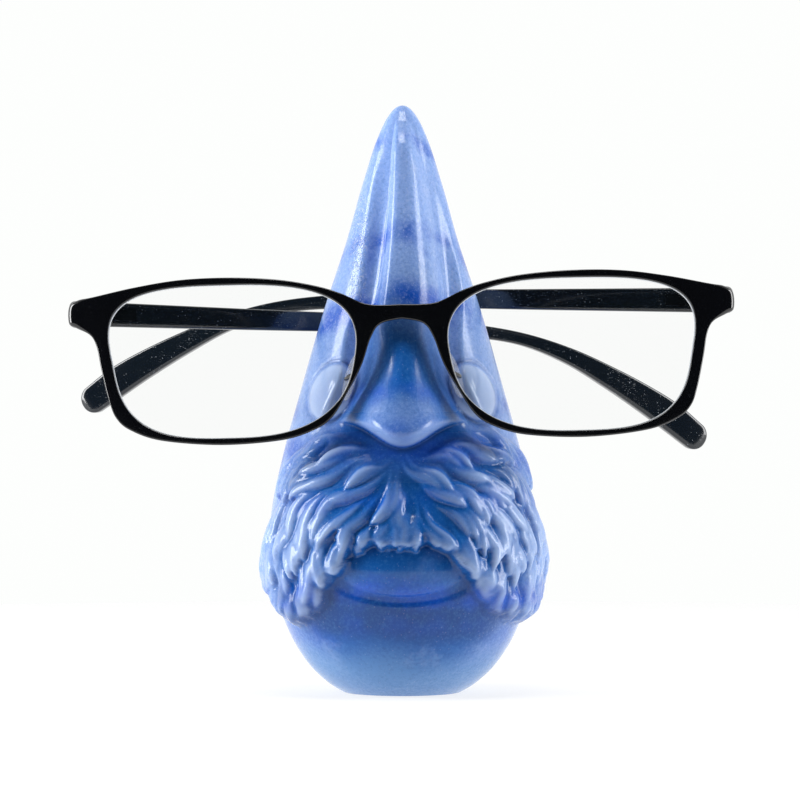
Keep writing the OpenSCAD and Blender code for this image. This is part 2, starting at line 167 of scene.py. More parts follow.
class Tree:
    """A Geometry Nodes tree with named inputs, which ends in Realize Instances and Set Material."""

    def __init__(self, name, **inputs):
        self.tree = bpy.data.node_groups.new(name, "GeometryNodeTree")
        self.sockets = {}
        for key, kind in {"Geometry": "Geometry", **inputs, "Material": "Material"}.items():
            key = key.replace("_", " ")
            socket = self.tree.interface.new_socket(key, in_out="INPUT", socket_type=f"NodeSocket{kind}")
            self.sockets[key] = socket.identifier
        self.tree.interface.new_socket("Geometry", in_out="OUTPUT", socket_type="NodeSocketGeometry")
        self.given = self.node("NodeGroupInput").outputs

    def node(self, kind, links=None, **values):
        """A node with its settings or socket values, and its sockets' links."""
        made = self.tree.nodes.new(kind)
        for key, value in values.items():
            if hasattr(made, key):
                setattr(made, key, value)
            else:
                made.inputs[key.replace("_", " ")].default_value = value
        for key, socket in (links or {}).items():
            self.tree.links.new(socket, made.inputs[key])
        return made

    def grown(self, geometry, points, edges, attribute, values, **inputs):
        """The mesh that the socket geometry gives on those points and edges, with the attribute's values."""
        solid = self.node("GeometryNodeRealizeInstances", {"Geometry": geometry})
        paint = self.node("GeometryNodeSetMaterial", {"Geometry": solid.outputs[0],
                                                      "Material": self.given["Material"]})
        self.node("NodeGroupOutput", {"Geometry": paint.outputs[0]})
        name = f"{self.tree.name}_guides"
        mesh = bpy.data.meshes.new(name)
        mesh.from_pydata(points, edges, [])
        values = np.asarray(values, np.float32)
        kind, field = ("FLOAT", "value") if values.ndim == 1 else ("FLOAT_VECTOR", "vector")
        mesh.attributes.new(attribute, kind, "POINT").data.foreach_set(field, values.ravel())
        obj = linked(name, mesh)
        modifier = obj.modifiers.new("Nodes", "NODES")
        modifier.node_group = self.tree
        for key, value in inputs.items():
            modifier[self.sockets[key.replace("_", " ")]] = value
        made = bpy.data.meshes.new_from_object(obj.evaluated_get(bpy.context.evaluated_depsgraph_get()))
        obj.modifiers.clear()
        bpy.data.objects.remove(obj)
        return made


# ---------------------------------------------------------------- shader maths


class Value:
    """A shader socket that adds its own Math nodes."""

    def __init__(self, shader, socket):
        self.shader, self.socket = shader, socket

    def math(self, operation, other=None, flipped=False):
        pair = [self] if other is None else ([other, self] if flipped else [self, other])
        return self.shader.node("ShaderNodeMath", {"operation": operation}, *pair)

    def __add__(self, other):
        return self.math("ADD", other)

    def __sub__(self, other):
        return self.math("SUBTRACT", other)

    def __mul__(self, other):
        return self.math("MULTIPLY", other)

    def __truediv__(self, other):
        return self.math("DIVIDE", other)

    def __rsub__(self, other):
        return self.math("SUBTRACT", other, flipped=True)

    __radd__ = __add__
    __rmul__ = __mul__


class Shader:
    """One material's node tree around its Principled shader."""

    def __init__(self, name):
        self.material = bpy.data.materials.new(name)
        self.material.use_nodes = True
        self.tree = self.material.node_tree
        self.surface = self.tree.nodes["Principled BSDF"]
        place = self.tree.nodes.new("ShaderNodeTexCoord")
        self.place = Value(self, place.outputs["Object"])

    def node(self, kind, settings, *inputs, output=0, **named):
        """A node of that type with its settings, and the values or links of its sockets."""
        node = self.tree.nodes.new(kind)
        for key, value in settings.items():
            setattr(node, key, value)
        sockets = list(zip([s for s in node.inputs if s.enabled], inputs))
        sockets += [(node.inputs[key.replace("_", " ")], value) for key, value in named.items()]
        for socket, value in sockets:
            self.feed(socket, value)
        return Value(self, node.outputs[output])

    def feed(self, socket, value):
        if isinstance(value, Value):
            self.tree.links.new(value.socket, socket)
        elif value is not None:
            socket.default_value = value

    def set(self, **values):
        """Sets the Principled shader's sockets, such as Base_Color."""
        for key, value in values.items():
            self.feed(self.surface.inputs[key.replace("_", " ")], value)

    def axes(self):
        """The place's X, Y and Z, in metres."""
        split = self.tree.nodes.new("ShaderNodeSeparateXYZ")
        self.tree.links.new(self.place.socket, split.inputs[0])
        return [Value(self, s) for s in split.outputs]

    def noise(self, size, detail=2.0, roughness=0.5, stretch=(1, 1, 1)):
        """Noise from 0 to 1, with patches of that size in metres."""
        vector = self.node("ShaderNodeMapping", {}, self.place, None, None, stretch)
        return self.node("ShaderNodeTexNoise", {}, Vector=vector, Scale=1 / size, Detail=detail,
                         Roughness=roughness)

    def specks(self, spacing, radius):
        """1 in small round specks about that far apart, in metres, and 0 elsewhere."""
        near = self.node("ShaderNodeTexVoronoi", {}, Vector=self.place, Scale=1 / spacing)
        return self.ramp(near, radius, radius * 0.6)

    def ramp(self, value, zero, one):
        """0 at the value zero, 1 at the value one, and smooth between."""
        settings = {"interpolation_type": "SMOOTHSTEP"}
        return self.node("ShaderNodeMapRange", settings, value, zero, one, 0.0, 1.0)

    def band(self, value, start, full, fade, end):
        """1 from the value full to the value fade, and 0 before start and after end."""
        return self.ramp(value, start, full) * self.ramp(value, end, fade)

    def blend(self, share, first, second):
        """The first colour where share is 0 and the second where it is 1."""
        node = self.tree.nodes.new("ShaderNodeMix")
        node.data_type = "RGBA"
        for key, value in (("Factor_Float", share), ("A_Color", first), ("B_Color", second)):
            self.feed(next(s for s in node.inputs if s.identifier == key), value)
        return Value(self, next(s for s in node.outputs if s.identifier == "Result_Color"))

    def bump(self, height, depth):
        return self.node("ShaderNodeBump", {}, Height=height, Distance=depth, Strength=1.0)


# ---------------------------------------------------------------- settings

STONE_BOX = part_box("stone_head")


def colour(name, description, default):
    return FloatVectorProperty(name=name, description=description, subtype="COLOR", size=4, min=0, max=1,
                               default=(*default, 1))


def length(name, description, default):
    return FloatProperty(name=name, description=description, unit="LENGTH", default=default)


def strength(name, description, default):
    return FloatProperty(name=name, description=description, default=default)


class StoneSettings(bpy.types.PropertyGroup):
    height: length("Height", "Height of the stone", STONE_BOX[1].z)
    moustache_relief: length("Moustache relief", "How far the moustache's ground stands out", 0.0022)
    lock_length: length("Lock length", "Length of one lock of the moustache", 0.0150)
    lock_radius: length("Lock radius", "Radius of one lock at its widest", 0.0021)
    seed: IntProperty(name="Seed", description="Changes how the locks lie", default=12)
    light_stone: colour("Light stone", "Periwinkle blue of the cone", (0.25, 0.40, 0.79))
    deep_stone: colour("Deep stone", "Steel blue of the lower face", (0.008, 0.105, 0.40))
    # Painted highlight colour for the crests of the carving.
    crest_highlight_stone: colour("Worn stone", "Paler blue where the polish has worn", (0.30, 0.43, 0.70))
    # Painted shade colour for the hollows, and beneath the lip.
    painted_shade_stone: colour("Hollow stone", "Darker blue in the hollows", (0.006, 0.055, 0.24))
    # Paler blue painted at the foot as light bounced up from the floor.
    foot_bounce_stone: colour("Foot", "Paler blue of the foot", (0.13, 0.30, 0.60))
    vein: colour("Vein", "Cobalt blue of the veins", (0.003, 0.085, 0.54))
    cloud: colour("Cloud", "Pale clouds in the stone", (0.42, 0.55, 0.84))
    # Painted highlight colour of the domed eyes.
    eye_highlight_stone: colour("Eye stone", "Pale blue of the domed eyes", (0.55, 0.68, 0.92))


class SpectacleSettings(bpy.types.PropertyGroup):
    rim_rounding: length("Rim rounding", "Radius of the front's long edges", 0.0003)
    end_rounding: length("End rounding", "Extra radius at the end pieces", 0.0007)
    arm_plastic: colour("Arm plastic", "Blue black of the arms", (0.0035, 0.007, 0.012))
    plastic: colour("Plastic", "Black of the front", (0.0018, 0.0022, 0.0035))
    dust: colour("Dust", "Pale dust and fine scratches on the plastic", (0.22, 0.25, 0.28))
    screw_steel: colour("Screw steel", "Bright steel of the screws", (0.60, 0.60, 0.62))
    leaf_steel: colour("Leaf steel", "Blackened steel of the hinge leaves", (0.010, 0.013, 0.017))


class StudioSettings(bpy.types.PropertyGroup):
    left_power: strength("Left light", "Power of the softbox on the wearer's left, in watts", 1.35)
    right_power: strength("Right light", "Power of the softbox on the wearer's right, in watts", 2.1)
    top_power: strength("Top light", "Power of the overhead softbox, in watts", 0.9)
    front_light: strength("Front light", "Brightness of the studio before the object", 0.015)
    back_light: strength("Back light", "Brightness of the studio behind the object", 0.9)
    camera_distance: length("Camera distance", "From the stone's axis to the camera", 0.772)
    floor: colour("Floor", "Pale studio floor", (0.25, 0.25, 0.25))


# ---------------------------------------------------------------- the carved stone

# The height that the tables below are drawn for, in millimetres.
DRAWN_HEIGHT = 125.5
# The body without its carving: height, half width, depth in front, depth behind.
BODY = [(0, 12.5, 12.5, 11), (2, 15.8, 16, 14), (6, 20, 20.5, 17.5), (12, 23.8, 24.5, 20),
        (20, 26.8, 27, 21.8), (30, 28.6, 27.5, 22.5), (40, 27.8, 26, 21.5), (52, 25.2, 22.5, 19.3),
        (65, 21.6, 18.5, 16.2),
        (80, 17.3, 14.5, 12.4), (95, 12.4, 10.5, 9), (108, 8.7, 7.8, 6.3), (118, 5.5, 5, 4.2),
        (123.5, 2.8, 2.6, 2.2), (125.5, 0.05, 0.05, 0.05)]
BODY_SQUARED = [(row[0], row[1] ** 2, row[2] ** 2, row[3] ** 2) for row in BODY]
# The nose: height, reach of its ridge in front of the axis, half width to the right and to the left.
NOSE = [(50, 28, 16, 16), (55, 31, 15.5, 15.5), (60, 29, 12.6, 12.6), (66, 26, 9.4, 9.4),
        (70, 24.2, 8.6, 8.6), (76, 21.6, 7.8, 8.3), (80, 20.1, 6.4, 8.6), (84, 18.7, 5.4, 8.8),
        (95, 15, 3.9, 7.6), (104, 12.1, 3, 6.2), (112, 9.3, 2.4, 4.6), (118, 6.9, 2, 3), (125.5, 0.1, 1, 1.2)]
# How square the ridge's edges are: height, right edge, left edge.
RIDGE_SQUARENESS = [(50, 2.4, 2.4), (62, 2, 2), (74, 2, 2), (82, 6, 2.6), (112, 7, 2.4), (125.5, 4, 2.2)]
# How the ridge's height falls away towards each edge: height, right edge, left edge.
RIDGE_FALL = [(50, 0.85, 0.85), (62, 1, 1), (74, 1, 1), (82, 0.5, 1.1), (125.5, 0.5, 1.2)]
NOSE_TIP_HEIGHT = 52.4
# The nose's underside rises by the second value beyond about the first from its middle.
NOSE_WING = (7.5, 5.6)
NOSE_UNDERCUT = 3.2
# The hollow on each side of the ridge: height, depth.
FLUTE = [(54, 0), (60, 1.4), (66, 2.4), (80, 2.1), (95, 1.5), (108, 0.8), (120, 0)]
FLUTE_HALF_WIDTH = 3.4
# The moustache: angle from the front, heights of its upper and lower edge, share of its relief.
MOUSTACHE = [(0, 52.5, 31.3, 1), (18, 54, 31, 1), (25, 55.6, 27.6, 1), (31, 57, 24, 1), (38, 57.6, 20.2, 1),
             (46, 56.5, 17.6, 0.95), (53, 53, 16, 0.9), (60, 48, 15.2, 0.85), (68, 42.6, 15.4, 0.8),
             (76, 38.2, 18.4, 0.75), (86, 35.2, 22.4, 0.65), (97, 33.4, 25.6, 0.5), (108, 31.8, 28.2, 0.25),
             (115, 31, 29.6, 0)]
# The moustache reaches this many degrees further round on the left than on the right.
MOUSTACHE_SHIFT = 5
MOUSTACHE_END = 110
# An eye: its middle (distance from the middle plane, height), half its size, its lean and its relief.
EYE = (15.0, 64.0)
EYE_HALF = (4.4, 6.3)
EYE_LEAN = 24
EYE_RELIEF = 2.8
LIP_HALF = (12.8, 5.5)
LIP_HEIGHT = 27.2
LIP_RELIEF = 1.9
# Short locks over the mouth, to this angle on each side and this far apart, and how far their ends hang down.
FRINGE_SPAN = 17.5
FRINGE_SPACING = 5
FRINGE_SCALLOP = 0.8


def body_size(z, column):
    return np.sqrt(np.maximum(curve(BODY_SQUARED, z, column), 0.0004))


def oval(x, z, centre, half, lean=0.0):
    """Distance from the centre of a leaning oval, 1 on its rim."""
    c, s = math.cos(math.radians(lean)), math.sin(math.radians(lean))
    dx, dz = x - centre[0], z - centre[1]
    return np.hypot((dx * c - dz * s) / half[0], (dz * c + dx * s) / half[1])


def nose_relief(x, z):
    """How far the nose and the ridge above it stand out of the face."""
    left = x > 0
    width = np.where(left, curve(NOSE, z, 3), curve(NOSE, z, 2))
    square = np.where(left, curve(RIDGE_SQUARENESS, z, 2), curve(RIDGE_SQUARENESS, z, 1))
    fall = np.where(left, curve(RIDGE_FALL, z, 2), curve(RIDGE_FALL, z, 1))
    u = np.minimum(np.abs(x) / width, 1)
    under = NOSE_TIP_HEIGHT + NOSE_WING[1] * (1 - np.exp(-((x / NOSE_WING[0]) ** 2)))
    rise = np.clip((z - under) / NOSE_UNDERCUT, 0, 1)
    reach = np.maximum(curve(NOSE, z, 1) - body_size(z, 2), 0)
    alar = 0.7 * np.exp(-(((np.abs(x) - 8.6 - 0.2 * (z - 56)) / 1.8) ** 2)) * smooth((64 - z) / 6)
    return reach * (1 - u**square) ** fall * np.sqrt(1 - (1 - rise) ** 2) - alar * (u < 1) * rise


def flute_depth(x, z):
    """Depth of the hollow on each side of the ridge."""
    width = np.where(x > 0, curve(NOSE, z, 3), curve(NOSE, z, 2))
    off = (np.abs(x) - width - FLUTE_HALF_WIDTH * 0.35) / FLUTE_HALF_WIDTH
    return curve(FLUTE, z) * smooth(1 - np.abs(off))


def eye_relief(x, z):
    """Domed eyes with a crisp rim and a fine carved line round them."""
    r = oval(np.abs(x), z, EYE, EYE_HALF, -EYE_LEAN)
    dome = EYE_RELIEF * (1 - np.minimum(r, 1) ** 2) ** 0.55
    return dome - 0.5 * np.exp(-(((r - 1.09) / 0.07) ** 2))


def lip_relief(x, z):
    """The lower lip and the soft groove beneath it."""
    r = oval(x, z, (0, LIP_HEIGHT), LIP_HALF)
    lip = LIP_RELIEF * (1 - np.minimum(r, 1) ** 2) ** 0.6
    groove = 0.35 * np.exp(-(((r - 1.16) / 0.22) ** 2)) * smooth((LIP_HEIGHT - z) / 3)
    return lip - groove


def moustache_angle(a):
    """The angle at which the moustache's rows are read for the angle a from the front."""
    return np.abs(a) - MOUSTACHE_SHIFT * np.sign(a) * smooth((np.abs(a) - 20) / 50)


def moustache_ground(a, z, relief):
    """Relief of the moustache below its locks."""
    t = moustache_angle(a)
    top, foot = curve(MOUSTACHE, t, 1), curve(MOUSTACHE, t, 2)
    scallop = np.abs(np.sin(np.pi * (a + FRINGE_SPAN) / FRINGE_SPACING)) * smooth((24 - np.abs(a)) / 5)
    fall = smooth((z - foot - FRINGE_SCALLOP * scallop) / (1.1 + 2.6 * smooth((t - 24) / 16)))
    inside = smooth((top - z) / (6 + 8 * smooth(t / 90))) * fall
    return np.where(t > MOUSTACHE_END, 0, inside * curve(MOUSTACHE, t, 3) * relief)


class Skin:
    """The stone's surface at angles a from the front and heights z, and the directions it is carved along."""

    def __init__(self, a, z, relief):
        self.a, self.z = a, z
        front = np.abs(a) < 90
        w = body_size(z, 1)
        d = np.where(front, body_size(z, 2), body_size(z, 3))
        sine, cosine = np.sin(np.radians(a)), np.cos(np.radians(a))
        x = w * sine
        out = np.stack([sine / w, -cosine / d], -1)
        self.out = out / np.linalg.norm(out, axis=-1, keepdims=True)
        self.ground = moustache_ground(a, z, relief)
        bare = 1 - smooth(self.ground / 0.5)
        face = nose_relief(x, z) - flute_depth(x, z) + eye_relief(x, z) + bare * lip_relief(x, z)
        self.base = np.stack([x, -d * cosine - np.where(front, face * smooth((90 - np.abs(a)) / 8), 0)], -1)

    def points(self, raised):
        """Points of the skin with the moustache raised by that much beyond the body."""
        flat = self.base + self.out * raised[..., None]
        return np.concatenate([flat, self.z[..., None]], -1)


# The rows that locks hang from, as shares of the moustache's height, and degrees between the locks of a row.
LOCK_ROWS = (0.0, 0.14, 0.29, 0.44, 0.59, 0.74)
LOCK_SPACING = 6.8
LOCK_STEPS = 28
LOCK_SIDES = 12
LOCK_RISE = 1.9


def lock_heading(a, z):
    """Degrees from straight down in which the hair lies, outward beside the nose and in again at the tips."""
    t = abs(a)
    away = 76 * smooth(t / 13) * smooth((z - 21) / 31) * (1 - 0.5 * smooth((t - 25) / 45))
    back = 24 * smooth((28 - z) / 9) * smooth((t - 20) / 30)
    return math.copysign(away - back, a)


def lock_path(a, z, length, sway, phase):
    """Angles and heights along one lock, which follows the heading with a slight double bend."""
    path = []
    step = length / LOCK_STEPS
    for k in range(LOCK_STEPS + 1):
        path.append((a, z))
        w, d = float(body_size(z, 1)), float(body_size(z, 2))
        across = math.hypot(w * math.cos(math.radians(a)), d * math.sin(math.radians(a))) + 3
        turn = math.radians(lock_heading(a, z) + sway * math.sin(2 * math.pi * k / LOCK_STEPS + phase))
        a += math.degrees(step * math.sin(turn) / across)
        z -= step * math.cos(turn)
        if z < curve(MOUSTACHE, moustache_angle(a), 2) - 0.3:
            break
    return np.array(path)


def lock_roots(rng, length, radius):
    """Angle and height of each lock's root, its length and its radius."""
    roots = []
    for row, down in enumerate(LOCK_ROWS):
        start = -MOUSTACHE_END + 10 + (row % 2) * LOCK_SPACING / 2
        for a in np.arange(start, MOUSTACHE_END - 8, LOCK_SPACING) + rng.uniform(-1, 1):
            a += rng.uniform(-1.6, 1.6)
            top, foot = curve(MOUSTACHE, moustache_angle(a), 1), curve(MOUSTACHE, moustache_angle(a), 2)
            z = top - (top - foot) * down - rng.uniform(0.3, 3.6)
            size = radius * rng.uniform(0.8, 1.15) * (0.85 if abs(a) < 20 else 1.0)
            roots.append((a, z, length * rng.uniform(0.75, 1.3), size))
    for a in np.arange(-FRINGE_SPAN, FRINGE_SPAN + 1, FRINGE_SPACING):
        z = curve(MOUSTACHE, 0, 2) + rng.uniform(9, 13)
        roots.append((a + rng.uniform(-0.5, 0.5), z, length, radius * rng.uniform(0.55, 0.68)))
    return roots


def lock_guides(settings):
    """Middle lines and radii of all the locks, as a mesh of open chains in millimetres."""
    rng = random.Random(settings.seed)
    relief = settings.moustache_relief / MM
    points, edges, thickness = [], [], []
    for a, z, length, size in lock_roots(rng, settings.lock_length / MM, settings.lock_radius / MM):
        path = lock_path(a, z, length, rng.uniform(10, 26) * rng.choice((-1, 1)), rng.uniform(-0.6, 0.6))
        if len(path) < LOCK_STEPS // 3:
            continue
        high = LOCK_RISE * rng.uniform(0.85, 1.15) * (0.6 + 0.4 * smooth((100 - abs(a)) / 30))
        beside = rng.choice((-1, 1)) * rng.uniform(2.0, 3.2)
        for shift, share in ((0, 1.0), (beside, 0.72)):
            strand = path[: int(len(path) * (0.7 + 0.3 * share))] + (shift, shift * 0.2)
            s = np.linspace(0, 1, len(strand))
            r = size * share * (0.3 + 0.7 * smooth(s / 0.6))
            r *= np.sqrt(np.clip(1 - smooth((s - 0.6) / 0.41) ** 1.3, 0.015, 1))
            rise = high * (0.6 + 0.4 * share) * (0.05 + 0.95 * smooth(s / 0.85))
            rise = rise * (1 - 0.2 * smooth((s - 0.85) / 0.15))
            skin = Skin(strand[:, 0], strand[:, 1], relief)
            first = len(points)
            points += list(skin.points(skin.ground + rise - r))
            thickness += list(r)
            edges += [(first + k, first + k + 1) for k in range(len(strand) - 1)]
    return points, edges, thickness


def moustache_locks(settings, material):
    """All the locks as one mesh of round sweeps, as thick as their guides' thickness, in millimetres."""
    points, edges, thickness = lock_guides(settings)
    tree = Tree("moustache_locks", Sides="Int")
    chains = tree.node("GeometryNodeMeshToCurve", {"Mesh": tree.given["Geometry"]})
    profile = tree.node("GeometryNodeCurvePrimitiveCircle", {"Resolution": tree.given["Sides"]}, Radius=1.0)
    thick = tree.node("GeometryNodeInputNamedAttribute", data_type="FLOAT", Name="thickness")
    sweep = tree.node("GeometryNodeCurveToMesh", {"Curve": chains.outputs["Curve"],
                                                  "Profile Curve": profile.outputs["Curve"],
                                                  "Scale": thick.outputs["Attribute"]}, Fill_Caps=True)
    guides = ([tuple(p) for p in points], edges, "thickness", thickness)
    return tree.grown(sweep.outputs["Mesh"], *guides, Sides=LOCK_SIDES, Material=material)


# The rays that find the locks start this far outside the body, in millimetres.
REACH = 9.0


def raise_locks(skin, locks):
    """How far each point of the skin stands beyond the body once the locks lie on it."""
    coordinates = np.zeros(len(locks.vertices) * 3)
    locks.vertices.foreach_get("co", coordinates)
    corners = [Vector(c) for c in coordinates.reshape(-1, 3)]
    tree = BVHTree.FromPolygons(corners, [tuple(p.vertices) for p in locks.polygons])
    raised = skin.ground.copy()
    low, high = min(row[2] for row in MOUSTACHE) - 2, max(row[1] for row in MOUSTACHE) + 2
    for i, j in np.argwhere((np.abs(skin.a) < MOUSTACHE_END + 2) & (skin.z > low) & (skin.z < high)):
        out = Vector((*skin.out[i, j], 0))
        start = Vector((*skin.base[i, j], skin.z[i, j])) + out * REACH
        distance = tree.ray_cast(start, -out, REACH)[3]
        if distance is not None:
            raised[i, j] = max(raised[i, j], REACH - distance)
    return raised


def soften(field, passes):
    """The field with each value drawn towards its neighbours, as polishing rounds an edge."""
    for _ in range(passes):
        for axis in (0, 1):
            edge = [(1, 1) if axis == k else (0, 0) for k in (0, 1)]
            padded = np.pad(field, edge, mode="edge")
            count = field.shape[axis]
            before, after = (np.take(padded, range(k, count + k), axis) for k in (0, 2))
            field = 0.25 * before + 0.5 * field + 0.25 * after
    return field


# The face's close columns reach this angle on each side.
FACE_SPAN = 116
# Painted shading of the carving, a painted highlight on crests and painted shade in hollows: the heights it
# lies between, the passes of smoothing that a crest is compared with, the height in millimetres that shades
# fully, and the extra shares of painted highlight on thick locks and on the eyes.
SHADING_HEIGHTS = (15.5, 73)
SHADING_REACH = 14
SHADING_DEPTH = 1.9
THICK_LOCK_HIGHLIGHT = 0.2
EYE_HIGHLIGHT = 0.25
FACE_COLUMNS = 320
BACK_COLUMNS = 26


def stone_rings():
    """Heights of the skin's rings, close together where the face is carved."""
    foot = 14 * np.linspace(0, 1, 24) ** 1.5
    tip = 125.5 - 12.5 * np.linspace(1, 0, 22) ** 1.6
    mouth, eyes, cone = np.arange(14.29, 59, 0.29), np.arange(59.1, 73, 0.36), np.arange(73.6, 112.9, 0.85)
    return np.concatenate([foot, mouth, eyes, cone, tip])


def stone_columns():
    face = np.linspace(-FACE_SPAN, FACE_SPAN, FACE_COLUMNS)
    back = np.linspace(FACE_SPAN, 360 - FACE_SPAN, BACK_COLUMNS)[1:-1]
    return np.concatenate([face, np.where(back > 180, back - 360, back)])


def stone_material(settings):
    """Polished stone, pale at the top and deep blue below, veined, with painted highlights on crests, eyes and
    nose tip, painted shade in its hollows and a painted floor bounce at the foot.
    """
    s = Shader("polished_blue_stone")
    x, y, z = s.axes()
    # The point attribute of painted shading: painted highlight on crests, painted shade in hollows.
    painted_shading = s.node("ShaderNodeAttribute", {"attribute_name": "painted_shading"}, output="Fac")
    broad, fine = s.noise(0.030, 3.0), s.noise(0.009, 4.0, 0.6)
    grain, crystals = s.noise(0.0007, 3.0, 0.75), s.specks(0.0011, 0.16)
    wide, drift = x.math("ABSOLUTE"), broad - 0.5
    lower = s.ramp(z + drift * 0.020, 0.088, 0.070) * s.ramp(y + drift * 0.012, -0.008, -0.020)
    # Painted highlight: the nose tip, which faces the light, is kept lighter than the deep stone below.
    tip = s.ramp((z - 0.0575).math("ABSOLUTE"), 0.009, 0.002) * s.ramp(y, -0.022, -0.028)
    lower = lower * (1 - tip * 0.5)
    chin = s.ramp(z, 0.032, 0.018) * s.ramp(y + (fine - 0.5) * 0.01, 0.004, -0.012) * 0.55
    lower = lower.math("MAXIMUM", chin)
    colour = s.blend(lower, tuple(settings.light_stone), tuple(settings.deep_stone))
    # More pale clouding towards the bottom, part of the painted floor bounce.
    mottle = 0.5 - lower * 0.38 + s.ramp(z, 0.018, 0.010) * 0.22
    colour = s.blend(s.ramp(fine, 0.52, 0.78) * mottle, colour, tuple(settings.cloud))
    colour = s.blend(s.ramp(broad, 0.55, 0.30) * 0.35, colour, tuple(settings.deep_stone))
    # Paler on the crests at the beard's sides: a painted highlight, driven by the painted shading.
    beard_side = s.ramp(wide, 0.013, 0.021) * s.band(z, 0.016, 0.024, 0.038, 0.050)
    colour = s.blend(beard_side * s.ramp(painted_shading, 0.35, 0.75) * 0.6, colour, tuple(settings.cloud))
    # Darker band under the lip: partly the stone's own dark band, partly painted shade beneath the lip.
    from_lip = (z + drift * 0.006 - 0.0180).math("ABSOLUTE")
    under_lip = s.ramp(from_lip, 0.0070, 0.0030) * s.ramp(y, -0.012, -0.020)
    colour = s.blend(under_lip * 0.85, colour, tuple(settings.painted_shade_stone))
    # Paler towards the foot: painted light bounced up from the floor.
    foot = s.ramp(z + drift * 0.010, 0.013, 0.005)
    colour = s.blend(foot * 0.8, colour, tuple(settings.foot_bounce_stone))
    for height, dip, half, strength in STONE_VEINS:
        wander = (s.noise(0.011 + height * 0.02, 5.0, 0.7) - 0.5) * (s.ramp(y, -0.004, 0.016) * 0.018 + 0.010)
        distance = (z + y * dip + wander - height).math("ABSOLUTE")
        broken = s.ramp(s.noise(0.008 + height * 0.01, 2.0), 0.30, 0.62)
        colour = s.blend(s.ramp(distance, half * 1.35, 0.0) * broken * strength, colour, tuple(settings.vein))
    pale = s.blend(lower, (0.60, 0.69, 0.86, 1), (0.08, 0.26, 0.55, 1))
    colour = s.blend((grain - 0.5) * 1.3, colour, pale)
    colour = s.blend((0.5 - grain) * 1.3, colour, (0.002, 0.04, 0.20, 1))
    colour = s.blend(crystals * (0.16 - lower * 0.09), colour, (0.80, 0.86, 0.97, 1))
    rough_patch = s.ramp((x + 0.0092).math("ABSOLUTE"), 0.0026, 0.0008) * s.ramp(y, 0.0, -0.003)
    rough_patch = rough_patch * s.band(z, 0.078, 0.084, 0.098, 0.112)
    chips = s.ramp(s.noise(0.0006, 2.0, 0.7), 0.52, 0.62) * rough_patch
    colour = s.blend(chips * 0.35, colour, (0.72, 0.79, 0.93, 1))
    # Painted highlight on the crests, paler still towards the sides, then painted shade in the hollows.
    side = s.ramp(wide, 0.008, 0.020)
    crest_highlight = s.blend(side, tuple(settings.crest_highlight_stone), tuple(settings.cloud))
    colour = s.blend(s.ramp(painted_shading, 0.5, 1.0) * (0.70 + side * 0.2), colour, crest_highlight)
    colour = s.blend(s.ramp(painted_shading, 0.5, 0.0) * 0.75, colour, tuple(settings.painted_shade_stone))
    beside = s.band(wide, 0.0022, 0.0045, 0.011, 0.014)
    matte = beside * s.band(z, 0.058, 0.064, 0.076, 0.086) * s.ramp(y, -0.010, -0.014)
    matte = matte + s.ramp(wide, 0.018, 0.012) * s.band(z, 0.044, 0.048, 0.053, 0.057)
    dx, dz = wide - EYE[0] * MM, z - EYE[1] * MM
    cosine, sine = math.cos(math.radians(EYE_LEAN)), math.sin(math.radians(EYE_LEAN))
    across = (dx * cosine + dz * sine) / (EYE_HALF[0] * MM)
    along = (dz * cosine - dx * sine) / (EYE_HALF[1] * MM)
    eye = s.ramp(across * across + along * along, 1.05, 0.85) * s.ramp(y, 0.0, -0.004)
    # A painted highlight: the eyes are made paler.
    colour = s.blend(eye * 0.34, colour, tuple(settings.eye_highlight_stone))
    roughness = 0.13 + s.noise(0.004, 3.0) * 0.10 + chips * 0.25 + matte * 0.42 - eye * 0.08
    s.set(Base_Color=colour, Roughness=roughness, Specular_IOR_Level=0.38, Coat_Weight=0.1,
          Coat_Roughness=0.05, Subsurface_Weight=0.12, Subsurface_Radius=(0.4, 0.7, 1.0),
          Subsurface_Scale=0.004)
    s.set(Normal=s.bump(grain * 0.15 + fine * 0.6 - chips * 0.9, 0.00008))
    return s.material


# Veins that dip towards the back: height where they cross the axis and dip, half thickness, and strength.
# Heights and thicknesses are in metres.
STONE_VEINS = [(0.1162, 0.50, 0.0026, 0.8), (0.0922, 0.38, 0.0042, 0.85), (0.0775, 0.38, 0.0040, 0.95),
               (0.0605, 0.15, 0.0030, 0.6), (0.0500, 0.12, 0.0050, 0.75), (0.0392, 0.10, 0.0030, 0.45),
               (0.0195, 0.10, 0.0030, 0.95), (0.0120, 0.15, 0.0030, 0.35)]


def painted_shading_share(skin, raised):
    """The painted shading of each point: 0, painted shade, deep in a hollow, 0.5 on plain stone and 1, painted
    highlight, on the thick ends of the locks.
    """
    height = raised + np.hypot(skin.base[..., 0], skin.base[..., 1])
    low, high = SHADING_HEIGHTS
    carved = smooth((skin.z - low) / 3) * smooth((high - skin.z) / 3)
    carved = carved * smooth((FACE_SPAN - 2 - np.abs(skin.a)) / 6)
    crest = (height - soften(height, SHADING_REACH)) * carved
    thick = smooth((raised - 2.4) / 2.4) * THICK_LOCK_HIGHLIGHT
    x = body_size(skin.z, 1) * np.sin(np.radians(skin.a))
    eyes = smooth(eye_relief(x, skin.z)) * (np.abs(skin.a) < 90) * EYE_HIGHLIGHT
    return np.clip(0.5 + crest / SHADING_DEPTH + thick + eyes, 0, 1)


